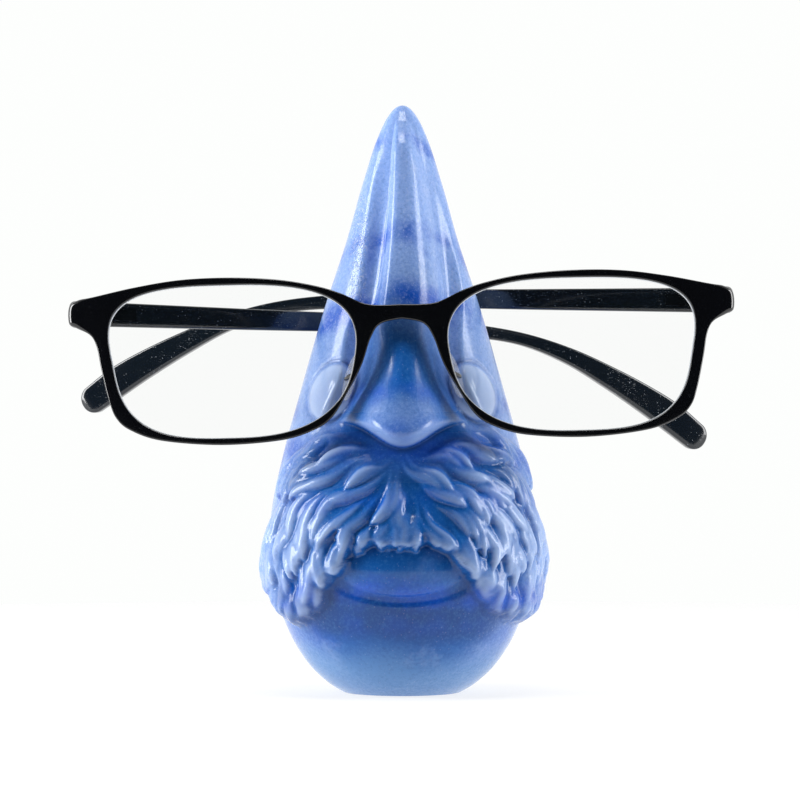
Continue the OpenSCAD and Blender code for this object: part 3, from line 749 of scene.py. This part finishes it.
def carve_stone(settings):
    material = stone_material(settings)
    a, z = np.meshgrid(stone_columns(), stone_rings())
    skin = Skin(a, z, settings.moustache_relief / MM)
    locks = moustache_locks(settings, material)
    raised = soften(raise_locks(skin, locks), 1)
    points = skin.points(raised)
    points[..., 2] *= settings.height / MM / DRAWN_HEIGHT
    rings, columns = a.shape
    faces = [face for i in range(rings - 1) for face in ring_faces(i * columns, (i + 1) * columns, columns)]
    faces += [tuple(range(columns)), tuple(range((rings - 1) * columns, rings * columns))]
    points = points.reshape(-1, 3)
    obj = piece("carved_stone", points, faces, [material], "stand", ["stone_head"])
    # This attribute holds painted shading: a painted highlight on crests and painted shade in hollows.
    painted_shading = obj.data.attributes.new("painted_shading", "FLOAT", "POINT")
    painted_shading.data.foreach_set("value", painted_shading_share(skin, raised).ravel().astype(np.float32))
    return obj


# ---------------------------------------------------------------- where the spectacles sit

# In the front's own frame, in millimetres: +X to the left, +Z up, and Y behind the front face.
HINGE_BACK, HINGE_UP = 13.8, 10.9
PINS = {side: next(joint for joint in frame["joints"] if joint["name"] == f"{name}_arm_fold")
        for side, name in SIDE_NAMES.items()}
PIN_PLACES = {side: np.array(PINS[side]["pos_m"]) / MM for side in PINS}
ACROSS = PIN_PLACES[LEFT] - PIN_PLACES[RIGHT]
ROLL = math.degrees(math.atan2(ACROSS[2], ACROSS[0]))
SEAT = (PIN_PLACES[LEFT] + PIN_PLACES[RIGHT]) / 2 - turn_y(-ROLL) @ np.array([0, HINGE_BACK, HINGE_UP])
REST_ANGLE = {LEFT: 19.5, RIGHT: 21.5}


def seated(points):
    """Points of the front's own frame, in the row's frame."""
    return np.asarray(points) @ turn_y(-ROLL).T + SEAT


def pin_lean(side):
    """The angle about Y, in radians, from straight up to the side's pin."""
    axis = np.array(PINS[side]["axis"]) * np.sign(PINS[side]["axis"][2])
    return math.atan2(axis[0], axis[2])


def on_pin(points, side, angle=0.0):
    """Points drawn at the left hinge, turned by the angle about its pin and set on the side's own pin.

    They are drawn with +Z up the pin, +X outward and +Y along the open arm.
    """
    local = np.asarray(points) @ turn_z(angle).T * np.array([side, 1, 1])
    return local @ turn_y(math.degrees(pin_lean(side))).T + PIN_PLACES[side]


# ---------------------------------------------------------------- the spectacles' front

WRAP_RADIUS = 280
FRONT_THICKNESS = 3.2
LENS_X = 35.4
LENS_HALF = (25.4, 15.95)
LENS_SQUARENESS = 2.9
LENS_WIDEN = 0.007
LENS_LEAN = 0.0065
LENS_POINTS = 168
# Outer edge of the left half, from the middle of the bridge's top round to the middle of its underside.
HALF_OUTLINE = [(0, 11.1), (7, 11.3), (12.8, 13.8), (17.9, 15.4), (25.4, 16.8), (35.4, 17.5), (46, 17.3),
                (55.7, 16), (64.8, 14.2), (67.8, 13.7), (69.8, 12.4), (69.9, 8.8), (68.3, 7.8), (65.3, 6.2),
                (64, 3.6), (63.2, -0.8), (61.7, -7.4), (60.2, -11.3), (57.2, -13.9), (50.6, -16.2),
                (38, -17.35),
                (25.4, -16.6), (18.6, -14.6), (14.8, -12), (11.5, -6.9), (8.5, -1.4), (6.5, 4.2), (4.4, 7.1),
                (0, 8.1)]
OUTLINE_STEPS = 8
ROUND_STEPS = 5
LUG = ((63.0, 9.6, 7.9), (69.9, 13.2, 13.6))


def wrapped(flat, depth):
    """Flat points (X, Z) at that depth behind the front face, bent round the front's wrap."""
    x, z = flat[:, 0], flat[:, 1]
    return np.stack([x, WRAP_RADIUS - np.sqrt((WRAP_RADIUS - depth) ** 2 - x**2), z], -1)


def lens_outline(side, grow=0.0, count=LENS_POINTS):
    t = side * 2 * np.pi * np.arange(count) / count
    power = 2 / LENS_SQUARENESS
    z = LENS_HALF[1] * np.sign(np.sin(t)) * np.abs(np.sin(t)) ** power
    x = LENS_HALF[0] * (1 + LENS_WIDEN * z) * np.sign(np.cos(t)) * np.abs(np.cos(t)) ** power
    x = x + LENS_LEAN * z**2
    return np.stack([side * (LENS_X + x * (1 + grow / LENS_HALF[0])), z * (1 + grow / LENS_HALF[1])], -1)


def front_outline():
    half = smooth_path(HALF_OUTLINE, OUTLINE_STEPS)
    return np.concatenate([half, (half * (-1, 1))[-2:0:-1]])


def resampled(loop, spacing):
    """The closed loop with points that far apart."""
    closed = np.vstack([loop, loop[:1]])
    along = np.concatenate([[0], np.cumsum(np.linalg.norm(np.diff(closed, axis=0), axis=1))])
    at = np.linspace(0, along[-1], int(along[-1] / spacing), endpoint=False)
    return np.stack([np.interp(at, along, closed[:, 0]), np.interp(at, along, closed[:, 1])], -1)


def outward(loop):
    """Unit normals of a closed loop, pointing away from the area inside it."""
    tangent = np.roll(loop, -1, 0) - np.roll(loop, 1, 0)
    normal = np.stack([tangent[:, 1], -tangent[:, 0]], -1) / np.linalg.norm(tangent, axis=1, keepdims=True)
    area = np.sum(loop[:, 0] * np.roll(loop[:, 1], -1) - np.roll(loop[:, 0], -1) * loop[:, 1])
    return normal * np.sign(area)


def inside_loop(points, loop):
    """Whether each point lies inside the closed loop."""
    inside = np.zeros(len(points), bool)
    for (x1, y1), (x2, y2) in zip(loop, np.roll(loop, -1, 0)):
        crosses = (y1 > points[:, 1]) != (y2 > points[:, 1])
        with np.errstate(divide="ignore", invalid="ignore"):
            inside ^= crosses & (points[:, 0] < (x2 - x1) * (points[:, 1] - y1) / (y2 - y1) + x1)
    return inside


def edge_radii(loop, others, rounding):
    """The edge's rounding radius along a loop, less where the rim is too narrow for it."""
    width = np.linalg.norm(loop[:, None] - others[None], axis=2).min(1)
    radius = np.minimum(rounding(loop), 0.4 * width)
    for _ in range(6):
        radius = np.minimum(radius, (np.roll(radius, 1) + radius + np.roll(radius, -1)) / 3)
    return radius


def plate_with_holes(outer, holes, rounding, thickness):
    """Points and faces of a wrapped plate with rounded edges, in the front's own frame."""
    loops = [outer, *holes]
    normals = [outward(outer), *(-outward(hole) for hole in holes)]
    radii = []
    for loop in loops:
        others = np.concatenate([other for other in loops if other is not loop])
        radii.append(edge_radii(loop, others, rounding))
    rounds = [(1 - math.sin(t), 1 - math.cos(t)) for t in np.linspace(0, np.pi / 2, ROUND_STEPS + 1)]
    points, faces, rows = [], [], []
    for loop, normal, radius in zip(loops, normals, radii):
        starts = []
        front = [(inset, radius * depth) for inset, depth in rounds]
        back = [(inset, thickness - radius * depth) for inset, depth in rounds[::-1]]
        for inset, depth in front + back:
            starts.append(len(points))
            points += list(wrapped(loop - normal * (radius * inset)[:, None], depth))
        for first, second in zip(starts, starts[1:]):
            faces += ring_faces(first, second, len(loop))
        rows.append(starts)
    flat = np.concatenate([loop - normal * r[:, None] for loop, normal, r in zip(loops, normals, radii)])
    counts = np.cumsum([0] + [len(loop) for loop in loops])
    edges = [(lo + k, lo + (k + 1) % (hi - lo)) for lo, hi in zip(counts, counts[1:]) for k in range(hi - lo)]
    triangles = delaunay_2d_cdt([Vector(p) for p in flat], edges, [], 0, 1e-6)[2]
    middles = np.array([flat[list(t)].mean(0) for t in triangles])
    keep = inside_loop(middles, flat[: counts[1]])
    for lo, hi in zip(counts[1:], counts[2:]):
        keep &= ~inside_loop(middles, flat[lo:hi])
    owner = np.searchsorted(counts, np.arange(len(flat)), "right") - 1
    for row, flip in ((0, False), (-1, True)):
        index = [rows[owner[k]][row] + k - counts[owner[k]] for k in range(len(flat))]
        for triangle in (t for t, kept in zip(triangles, keep) if kept):
            face = [index[k] for k in triangle]
            faces.append(face[::-1] if flip else face)
    return np.array(points), faces


def rounded_block(low, high, radius, steps=4):
    """Mesh of a block with rounded edges, in millimetres."""
    work = bmesh.new()
    bmesh.ops.create_cube(work, size=1)
    low, high = Vector(low), Vector(high)
    for vertex in work.verts:
        vertex.co = Vector(c * (h - l) + (h + l) / 2 for c, l, h in zip(vertex.co, low, high))
    bmesh.ops.bevel(work, geom=work.edges[:], offset=radius, segments=steps, profile=0.5, affect="EDGES")
    points = np.array([v.co for v in work.verts])
    faces = [[v.index for v in f.verts] for f in work.faces]
    work.free()
    return points, faces


def sweep(path, radii, sides=16):
    """Points and faces of a closed round tube along a path."""
    path, radii = np.asarray(path, float), np.asarray(radii, float)
    tangents = np.gradient(path, axis=0)
    points = []
    for middle, tangent, radius in zip(path, tangents, radii):
        tangent = tangent / np.linalg.norm(tangent)
        side = np.cross(tangent, (0, 0, 1) if abs(tangent[2]) < 0.9 else (1, 0, 0))
        side /= np.linalg.norm(side)
        up = np.cross(side, tangent)
        for t in 2 * np.pi * np.arange(sides) / sides:
            points.append(middle + radius * (math.cos(t) * side + math.sin(t) * up))
    faces = [f for i in range(len(path) - 1) for f in ring_faces(i * sides, (i + 1) * sides, sides)]
    faces += [tuple(range(sides)), tuple(range((len(path) - 1) * sides, len(path) * sides))]
    return np.array(points), faces


def joined(parts):
    """One list of points and faces from several."""
    points, faces, count = [], [], 0
    for part_points, part_faces in parts:
        points.append(part_points)
        faces += [tuple(i + count for i in face) for face in part_faces]
        count += len(part_points)
    return np.concatenate(points), faces


def plastic_material(settings, name, plastic, dust):
    """Glossy black plastic, with smudges and as much dust and fine scratches as dust says."""
    s = Shader(name)
    smudge = s.noise(0.006, 4.0, 0.6)
    hairs = s.ramp(s.noise(0.0011, 3.0, 0.75, (1.0, 1.0, 7.0)), 0.60, 0.70)
    hairs = hairs * s.ramp(s.noise(0.010, 2.0), 0.48, 0.62)
    patches = s.ramp(s.noise(0.0045, 3.0, 0.7), 0.42, 0.58)
    specks = s.specks(0.0008, 0.14) * patches + s.specks(0.0023, 0.06) * s.ramp(s.noise(0.003), 0.35, 0.60)
    marks = (specks + hairs * 0.45) * dust
    s.set(Base_Color=s.blend(marks, plastic, tuple(settings.dust)),
          Roughness=0.09 + smudge * 0.12 + marks * 0.4, Specular_IOR_Level=0.5, Coat_Weight=0.5,
          Coat_Roughness=0.05, Normal=s.bump(smudge * 0.5 + marks, 0.00002))
    return s.material


PAD_AT = (10.7, 6.4, -3.7)
PAD_HALF = (0.85, 2.3, 5.2)
PAD_LEAN, PAD_SPLAY = 18, 22
POST_PATH = [(10.4, 2.6, -3.4), (10.9, 3.4, -3.6), (11.5, 4.4, -3.9), (11.9, 5.6, -4.1), (11.7, 6.4, -4.1)]


def pad_post(side):
    """The short arm that holds a nose pad off the back of the rim."""
    path = smooth_path(POST_PATH, 6) * (side, 1, 1)
    return sweep(path, 0.55 - 0.1 * np.linspace(0, 1, len(path)))


def make_front(settings):
    base, extra = settings.rim_rounding / MM, settings.end_rounding / MM
    points, faces = plate_with_holes(
        resampled(front_outline(), 0.55),
        [lens_outline(side) for side in (RIGHT, LEFT)],
        lambda loop: base + extra * smooth((np.abs(loop[:, 0]) - 65) / 4),
        FRONT_THICKNESS,
    )
    lugs = [rounded_block(*LUG, 1.3)]
    lugs.append((lugs[0][0] * (-1, 1, 1), [face[::-1] for face in lugs[0][1]]))
    points, faces = joined([(points, faces), *lugs, *(pad_post(side) for side in (RIGHT, LEFT))])
    material = plastic_material(settings, "black_front_plastic", tuple(settings.plastic), 0.08)
    return piece("spectacle_front", seated(points), faces, [material], "glasses_front",
                 ["front_frame"])


# ---------------------------------------------------------------- lenses and pads

LENS_RINGS = 14
# The lens's edge: how far it is grown beyond the opening, and its depth behind the front face.
LENS_EDGE = [(-0.10, 0.85), (0.40, 1.35), (0.40, 1.85), (-0.10, 2.35)]


def lens_materials():
    clear = Shader("clear_lens")
    clear.set(Base_Color=(0.04, 0.05, 0.05, 1), Roughness=0.02 + clear.noise(0.010, 3.0) * 0.03, IOR=1.5,
              Alpha=0.02)
    # The ground edge is pale frosted glass. Its emission is a painted glow standing in for the highlight along
    # the lens's edge.
    ground = Shader("ground_lens_edge_glow")
    ground.set(Base_Color=ground.blend(ground.noise(0.0006), (0.72, 0.75, 0.78, 1), (0.92, 0.94, 0.96, 1)),
               Roughness=0.45, Alpha=0.9, Emission_Color=(0.8, 0.85, 0.9, 1), Emission_Strength=0.4)
    return [clear.material, ground.material]


def make_lens(side, materials):
    points, faces, finish = [], [], []

    def disc(grow, depth):
        """A face of rings about the lens's middle, curved as the front is. Returns its outer ring's start."""
        outline = lens_outline(side, grow)
        middle = np.array([side * LENS_X, 0.0])
        points.append(wrapped(middle[None], depth)[0])
        centre = len(points) - 1
        for ring in range(1, LENS_RINGS + 1):
            start = len(points)
            points.extend(wrapped(middle + (outline - middle) * ring / LENS_RINGS, depth))
            if ring == 1:
                faces.extend((centre, start + k, start + (k + 1) % LENS_POINTS) for k in range(LENS_POINTS))
            else:
                faces.extend(ring_faces(start - LENS_POINTS, start, LENS_POINTS))
        finish.extend([0] * LENS_POINTS * LENS_RINGS)
        return start

    rings = [disc(*LENS_EDGE[0])]
    for grow, depth in LENS_EDGE[1:-1]:
        rings.append(len(points))
        points.extend(wrapped(lens_outline(side, grow), depth))
    rings.append(disc(*LENS_EDGE[-1]))
    for first, second in zip(rings, rings[1:]):
        faces.extend(ring_faces(first, second, LENS_POINTS))
        finish.extend([1] * LENS_POINTS)
    name = SIDE_NAMES[side]
    return piece(f"{name}_clear_lens", seated(points), faces, materials, "glasses_front",
                 [f"{name}_lens"], finish)


def silicone_material():
    s = Shader("clear_silicone")
    s.set(Base_Color=s.blend(s.noise(0.003), (0.80, 0.84, 0.88, 1), (0.92, 0.94, 0.96, 1)),
          Roughness=0.22 + s.noise(0.0015) * 0.1, IOR=1.41, Alpha=0.22, Coat_Weight=0.3)
    return s.material


def make_pad(side, material):
    """A soft oval pad, thickest in the middle and bowed round the nose."""
    rows, columns = 24, 36
    points = []
    for i in range(rows + 1):
        v = math.pi * i / rows
        for k in range(columns):
            u = 2 * math.pi * k / columns
            shape = [math.sin(v) * math.cos(u), math.sin(v) * math.sin(u), math.cos(v)]
            x, y, z = (math.copysign(abs(c) ** 0.8, c) * h for c, h in zip(shape, PAD_HALF))
            points.append((x + 0.25 * (y / PAD_HALF[1]) ** 2, y, z))
    faces = [f for i in range(rows) for f in ring_faces(i * columns, (i + 1) * columns, columns)]
    placed = np.array(points) @ turn_z(-PAD_SPLAY).T @ turn_y(-PAD_LEAN).T + PAD_AT
    name = f"{SIDE_NAMES[side]}_nose_pad"
    return piece(f"{name}_silicone", seated(placed * (side, 1, 1)), faces, [material], "glasses_front",
                 [name])


# ---------------------------------------------------------------- arms

ARM_LENGTH = 146.5
ARM_OFFSET = 1.55
# Along an arm: share of its length, drop of its middle line, height, thickness.
ARM = [(0, 0, 5.3, 3), (0.27, 0, 4.5, 2.7), (0.47, 0, 3.8, 2.5), (0.6, 0.8, 3, 2.4), (0.685, 2.3, 2.8, 2.4),
       (0.765, 5.8, 3.7, 2.5), (0.84, 10.8, 5.1, 2.7), (0.9, 15.4, 6.2, 2.7), (0.94, 18.9, 6.7, 2.6),
       (0.978, 22.8, 6.3, 2.5)]
# The power of the sections' outline: 1 is round, and nearer 0 is squarer.
ARM_SQUARENESS = 0.3
ARM_SECTIONS = 110
ARM_SIDES = 32
ARM_TIP_SECTIONS = 12


def arm_section(middle, direction, height, thickness):
    """A rounded oblong round the middle (Y, Z), across the direction the arm runs in."""
    across = np.array([-direction[1], direction[0]])
    ring = []
    for t in 2 * np.pi * np.arange(ARM_SIDES) / ARM_SIDES:
        x = math.copysign(abs(math.cos(t)) ** ARM_SQUARENESS, math.cos(t)) * thickness / 2
        h = math.copysign(abs(math.sin(t)) ** ARM_SQUARENESS, math.sin(t)) * height / 2
        out = ARM_OFFSET + ARM[0][3] - thickness / 2 + x - (ARM[0][3] - thickness) / 2
        ring.append((out, *(middle + across * h)))
    return ring


def arm_points():
    """Points and faces of one arm, drawn at the left hinge and open."""
    end, rings = ARM[-1][0], []
    shares = np.linspace(0, end, ARM_SECTIONS)
    middles = np.stack([shares * ARM_LENGTH, -curve(ARM, shares, 1)], -1)
    directions = np.gradient(middles, axis=0)
    directions /= np.linalg.norm(directions, axis=1, keepdims=True)
    for k, (share, middle, direction) in enumerate(zip(shares, middles, directions)):
        start = min(1.0, 0.86 + 0.14 * k)
        height, thickness = (curve(ARM, share, column) * start for column in (2, 3))
        rings.append(arm_section(middle, direction, height, thickness))
    radius = ARM[-1][2] / 2
    for t in np.linspace(0, np.pi / 2, ARM_TIP_SECTIONS)[1:]:
        forward, shrink = radius * math.sin(t), max(math.cos(t), 0.02)
        middle = middles[-1] + directions[-1] * forward
        thickness = ARM[-1][3] * (0.35 + 0.65 * shrink)
        rings.append(arm_section(middle, directions[-1], 2 * radius * shrink, thickness))
    count = len(rings)
    faces = [f for i in range(count - 1) for f in ring_faces(i * ARM_SIDES, (i + 1) * ARM_SIDES, ARM_SIDES)]
    faces += [tuple(range(ARM_SIDES)), tuple(range((count - 1) * ARM_SIDES, count * ARM_SIDES))]
    return np.concatenate(rings), faces


def make_arm(side, material):
    points, faces = arm_points()
    name = f"{SIDE_NAMES[side]}_arm"
    return piece(f"{name}_plastic", on_pin(points, side, 90 - REST_ANGLE[side]), faces, [material],
                 f"{SIDE_NAMES[side]}_temple", [name])


# ---------------------------------------------------------------- hinges

# In millimetres: a head's radius and height, its slot's width and how far that is lifted, and a shank's size.
SCREW_HEAD = (1.1, 0.5)
SCREW_SLOT = (0.3, 0.25)
SHANK_RADIUS, SHANK_HALF = 0.6, 2.05


def steel_material(name, steel, roughness):
    s = Shader(name)
    brushed = s.noise(0.0004, 2.0, 0.6, (1, 1, 12))
    dull = tuple(0.55 * c for c in steel[:3]) + (1,)
    s.set(Base_Color=s.blend(brushed * 0.6, steel, dull), Metallic=1.0,
          Roughness=roughness + brushed * 0.15, Normal=s.bump(brushed, 0.00001))
    return s.material


def screw_nodes():
    """A tree that puts a slotted screw, head up, on every point, and the screws, turned with their lean."""
    tree = Tree("hinge_screws", Shank_radius="Float", Shank_length="Float", Head_radius="Float",
                Head_height="Float", Slot_width="Float")
    node, given = tree.node, tree.given
    radius, length = given["Shank radius"], given["Shank length"]
    shank = node("GeometryNodeMeshCylinder", {"Radius": radius, "Depth": length}, Vertices=32)
    radius, height = given["Head radius"], given["Head height"]
    head = node("GeometryNodeMeshCylinder", {"Radius": radius, "Depth": height}, Vertices=48)
    lift = node("ShaderNodeMath", {0: length, 1: height}, operation="ADD")
    half = node("ShaderNodeMath", {0: lift.outputs[0]}, operation="MULTIPLY")
    half.inputs[1].default_value = 0.5
    up = node("ShaderNodeCombineXYZ", {"Z": half.outputs[0]})
    raised = node("GeometryNodeTransform", {"Geometry": head.outputs["Mesh"], "Translation": up.outputs[0]})
    slot_size = node("ShaderNodeCombineXYZ", {"Y": given["Slot width"], "Z": height}, X=0.01)
    slot = node("GeometryNodeMeshCube", {"Size": slot_size.outputs[0]})
    slot_up = node("ShaderNodeVectorMath", {0: up.outputs[0]}, operation="ADD")
    slot_up.inputs[1].default_value = (0, 0, SCREW_SLOT[1] * MM)
    cutter = node("GeometryNodeTransform", {"Geometry": slot.outputs["Mesh"],
                                            "Translation": slot_up.outputs[0]})
    slotted = node("GeometryNodeMeshBoolean", {"Mesh 1": raised.outputs[0], "Mesh 2": cutter.outputs[0]},
                   operation="DIFFERENCE")
    screw = node("GeometryNodeJoinGeometry", {"Geometry": slotted.outputs["Mesh"]})
    tree.tree.links.new(shank.outputs["Mesh"], screw.inputs["Geometry"])
    lean = node("GeometryNodeInputNamedAttribute", data_type="FLOAT_VECTOR", Name="lean")
    turned = node("FunctionNodeEulerToRotation", {"Euler": lean.outputs["Attribute"]})
    placed = node("GeometryNodeInstanceOnPoints", {"Points": given["Geometry"], "Instance": screw.outputs[0],
                                                   "Rotation": turned.outputs[0]})
    return tree, placed.outputs[0]


def make_screws(material):
    tree, screws = screw_nodes()
    points = [tuple(PIN_PLACES[side] * MM) for side in SIDE_NAMES]
    leans = [(0, pin_lean(side), 0) for side in SIDE_NAMES]
    mesh = tree.grown(screws, points, [], "lean", leans, Shank_radius=SHANK_RADIUS * MM,
                      Shank_length=2 * SHANK_HALF * MM, Head_radius=SCREW_HEAD[0] * MM,
                      Head_height=SCREW_HEAD[1] * MM, Slot_width=SCREW_SLOT[0] * MM, Material=material)
    obj = mesh_piece("hinge_screws", mesh, "glasses_front",
                     ["right_hinge_screw", "left_hinge_screw"])
    obj.data.shade_flat()
    return obj


def finish_leaves(material):
    """The hinge leaves keep their own shape and get the material."""
    for side in SIDE_NAMES.values():
        for node in (f"{side}_front_hinge_leaf", f"{side}_arm_hinge_leaf"):
            leaf = frame["nodes"][node].data
            leaf.materials.clear()
            leaf.materials.append(material)


# ---------------------------------------------------------------- studio

CAMERA_X, CAMERA_Z = -0.0005, 0.0624
LENS_LENGTH = 162.2
SENSOR = 36.0
FLOOR_RADIUS = 0.35
# The Y directions between which the world goes from its front light to its back light.
WORLD_FADE = (-0.55, 0.35)
SIDE_BOX_PLACE, SIDE_BOX_SIZE = (0.43, -0.06, 0.16), (0.16, 0.36)
TOP_BOX_PLACE, TOP_BOX_SIZE = (0, -0.14, 0.50), (0.24, 0.14)


def stage_material(name, colour):
    s = Shader(name)
    clouded = s.blend(s.noise(0.25, 2.0) * 0.15, colour, (0.35, 0.35, 0.35, 1))
    s.set(Base_Color=clouded, Roughness=0.8, Specular_IOR_Level=0.1, Emission_Color=(1, 1, 1, 1),
          Emission_Strength=0.75)
    return s.material


def plane(name, corners, material):
    mesh = bpy.data.meshes.new(name)
    mesh.from_pydata(corners, [], [tuple(range(len(corners)))])
    mesh.materials.append(material)
    obj = linked(name, mesh)
    return obj


def softbox(name, place, target, size, power):
    data = bpy.data.lights.new(name, "AREA")
    data.shape, data.size, data.size_y, data.energy = "RECTANGLE", size[0], size[1], power
    obj = linked(name, data)
    obj.location = place
    obj.rotation_euler = (Vector(target) - Vector(place)).to_track_quat("-Z", "Y").to_euler()
    return obj


def studio_world(settings):
    """White behind the object and dim in front of it, and seen as plain white."""
    world = bpy.data.worlds.new("white_studio")
    world.use_nodes = True
    nodes, links = world.node_tree.nodes, world.node_tree.links
    place, split = nodes.new("ShaderNodeTexCoord"), nodes.new("ShaderNodeSeparateXYZ")
    fade, path = nodes.new("ShaderNodeMapRange"), nodes.new("ShaderNodeLightPath")
    light = nodes.new("ShaderNodeMath")
    light.operation = "MAXIMUM"
    for socket, value in zip(fade.inputs[1:5], (*WORLD_FADE, settings.front_light, settings.back_light)):
        socket.default_value = value
    background = nodes["Background"]
    background.inputs["Color"].default_value = (0.985, 0.995, 0.985, 1)
    links.new(place.outputs["Generated"], split.inputs[0])
    links.new(split.outputs["Y"], fade.inputs[0])
    links.new(fade.outputs[0], light.inputs[0])
    links.new(path.outputs["Is Camera Ray"], light.inputs[1])
    links.new(light.outputs[0], background.inputs["Strength"])
    return world


def set_stage(settings):
    turns = np.linspace(0, 2 * np.pi, 64, endpoint=False)
    disc = [(FLOOR_RADIUS * math.cos(t), FLOOR_RADIUS * math.sin(t), 0) for t in turns]
    plane("studio_floor", disc, stage_material("pale_floor", tuple(settings.floor)))
    middle = (0, 0, 0.07)
    x, y, z = SIDE_BOX_PLACE
    softbox("left_softbox", (x, y, z), middle, SIDE_BOX_SIZE, settings.left_power)
    softbox("right_softbox", (-x, y, z), middle, SIDE_BOX_SIZE, settings.right_power)
    softbox("top_softbox", TOP_BOX_PLACE, middle, TOP_BOX_SIZE, settings.top_power)
    bpy.context.scene.world = studio_world(settings)
    data = bpy.data.cameras.new("camera")
    data.lens, data.sensor_width = LENS_LENGTH, SENSOR
    data.clip_start, data.clip_end = 0.01, 20
    camera = linked("camera", data)
    camera.location = (CAMERA_X, -settings.camera_distance, CAMERA_Z)
    camera.rotation_euler = (math.pi / 2, 0, 0)
    bpy.context.scene.camera = camera
    bpy.context.scene.view_settings.view_transform = "Standard"


# ---------------------------------------------------------------- operators and panel


class STAND_OT_stage(bpy.types.Operator):
    """Add the floor, the lights and the camera"""

    bl_idname = "stand.stage"
    bl_label = "Set the stage"

    def execute(self, context):
        set_stage(context.scene.stand_studio)
        return {"FINISHED"}


class STAND_OT_stone(bpy.types.Operator):
    """Carve the stone face, its cone and its moustache"""

    bl_idname = "stand.stone"
    bl_label = "Carve the stone"

    def execute(self, context):
        carve_stone(context.scene.stand_stone)
        return {"FINISHED"}


class STAND_OT_front(bpy.types.Operator):
    """Mould the spectacles' front"""

    bl_idname = "stand.front"
    bl_label = "Make the front"

    def execute(self, context):
        make_front(context.scene.stand_spectacles)
        return {"FINISHED"}


class STAND_OT_lenses(bpy.types.Operator):
    """Cut the two lenses with their ground edges"""

    bl_idname = "stand.lenses"
    bl_label = "Make the lenses"

    def execute(self, context):
        materials = lens_materials()
        for side in (RIGHT, LEFT):
            make_lens(side, materials)
        return {"FINISHED"}


class STAND_OT_pads(bpy.types.Operator):
    """Make the two clear nose pads"""

    bl_idname = "stand.pads"
    bl_label = "Make the nose pads"

    def execute(self, context):
        material = silicone_material()
        for side in (RIGHT, LEFT):
            make_pad(side, material)
        return {"FINISHED"}


class STAND_OT_arms(bpy.types.Operator):
    """Make the two folded arms"""

    bl_idname = "stand.arms"
    bl_label = "Make the arms"

    def execute(self, context):
        settings = context.scene.stand_spectacles
        material = plastic_material(settings, "black_arm_plastic", tuple(settings.arm_plastic), 1.0)
        for side in (RIGHT, LEFT):
            make_arm(side, material)
        return {"FINISHED"}


class STAND_OT_hinges(bpy.types.Operator):
    """Add the hinge screws and finish the hinge leaves"""

    bl_idname = "stand.hinges"
    bl_label = "Finish the hinges"

    def execute(self, context):
        settings = context.scene.stand_spectacles
        make_screws(steel_material("screw_steel", tuple(settings.screw_steel), 0.18))
        finish_leaves(steel_material("leaf_steel", tuple(settings.leaf_steel), 0.30))
        return {"FINISHED"}


OPERATORS = (STAND_OT_stage, STAND_OT_stone, STAND_OT_front, STAND_OT_lenses, STAND_OT_pads, STAND_OT_arms,
             STAND_OT_hinges)


class STAND_PT_panel(bpy.types.Panel):
    """Lists the stand's operators and settings"""

    bl_idname = "STAND_PT_panel"
    bl_label = "Spectacle stand"
    bl_space_type = "VIEW_3D"
    bl_region_type = "UI"
    bl_category = "Stand"

    def draw(self, context):
        for operator in OPERATORS:
            self.layout.operator(operator.bl_idname)
        for group in (context.scene.stand_stone, context.scene.stand_spectacles, context.scene.stand_studio):
            box = self.layout.box()
            for name in group.__annotations__:
                box.prop(group, name)


SETTINGS = {
    "stand_stone": StoneSettings,
    "stand_spectacles": SpectacleSettings,
    "stand_studio": StudioSettings,
}


def register():
    for cls in (*SETTINGS.values(), *OPERATORS, STAND_PT_panel):
        bpy.utils.register_class(cls)
    for name, group in SETTINGS.items():
        setattr(bpy.types.Scene, name, PointerProperty(type=group))


def unregister():
    for name in SETTINGS:
        delattr(bpy.types.Scene, name)
    for cls in reversed((*SETTINGS.values(), *OPERATORS, STAND_PT_panel)):
        bpy.utils.unregister_class(cls)


def main():
    register()
    bpy.ops.stand.stage()
    bpy.ops.stand.stone()
    bpy.ops.stand.front()
    bpy.ops.stand.lenses()
    bpy.ops.stand.pads()
    bpy.ops.stand.arms()
    bpy.ops.stand.hinges()


if __name__ == "__main__":
    main()
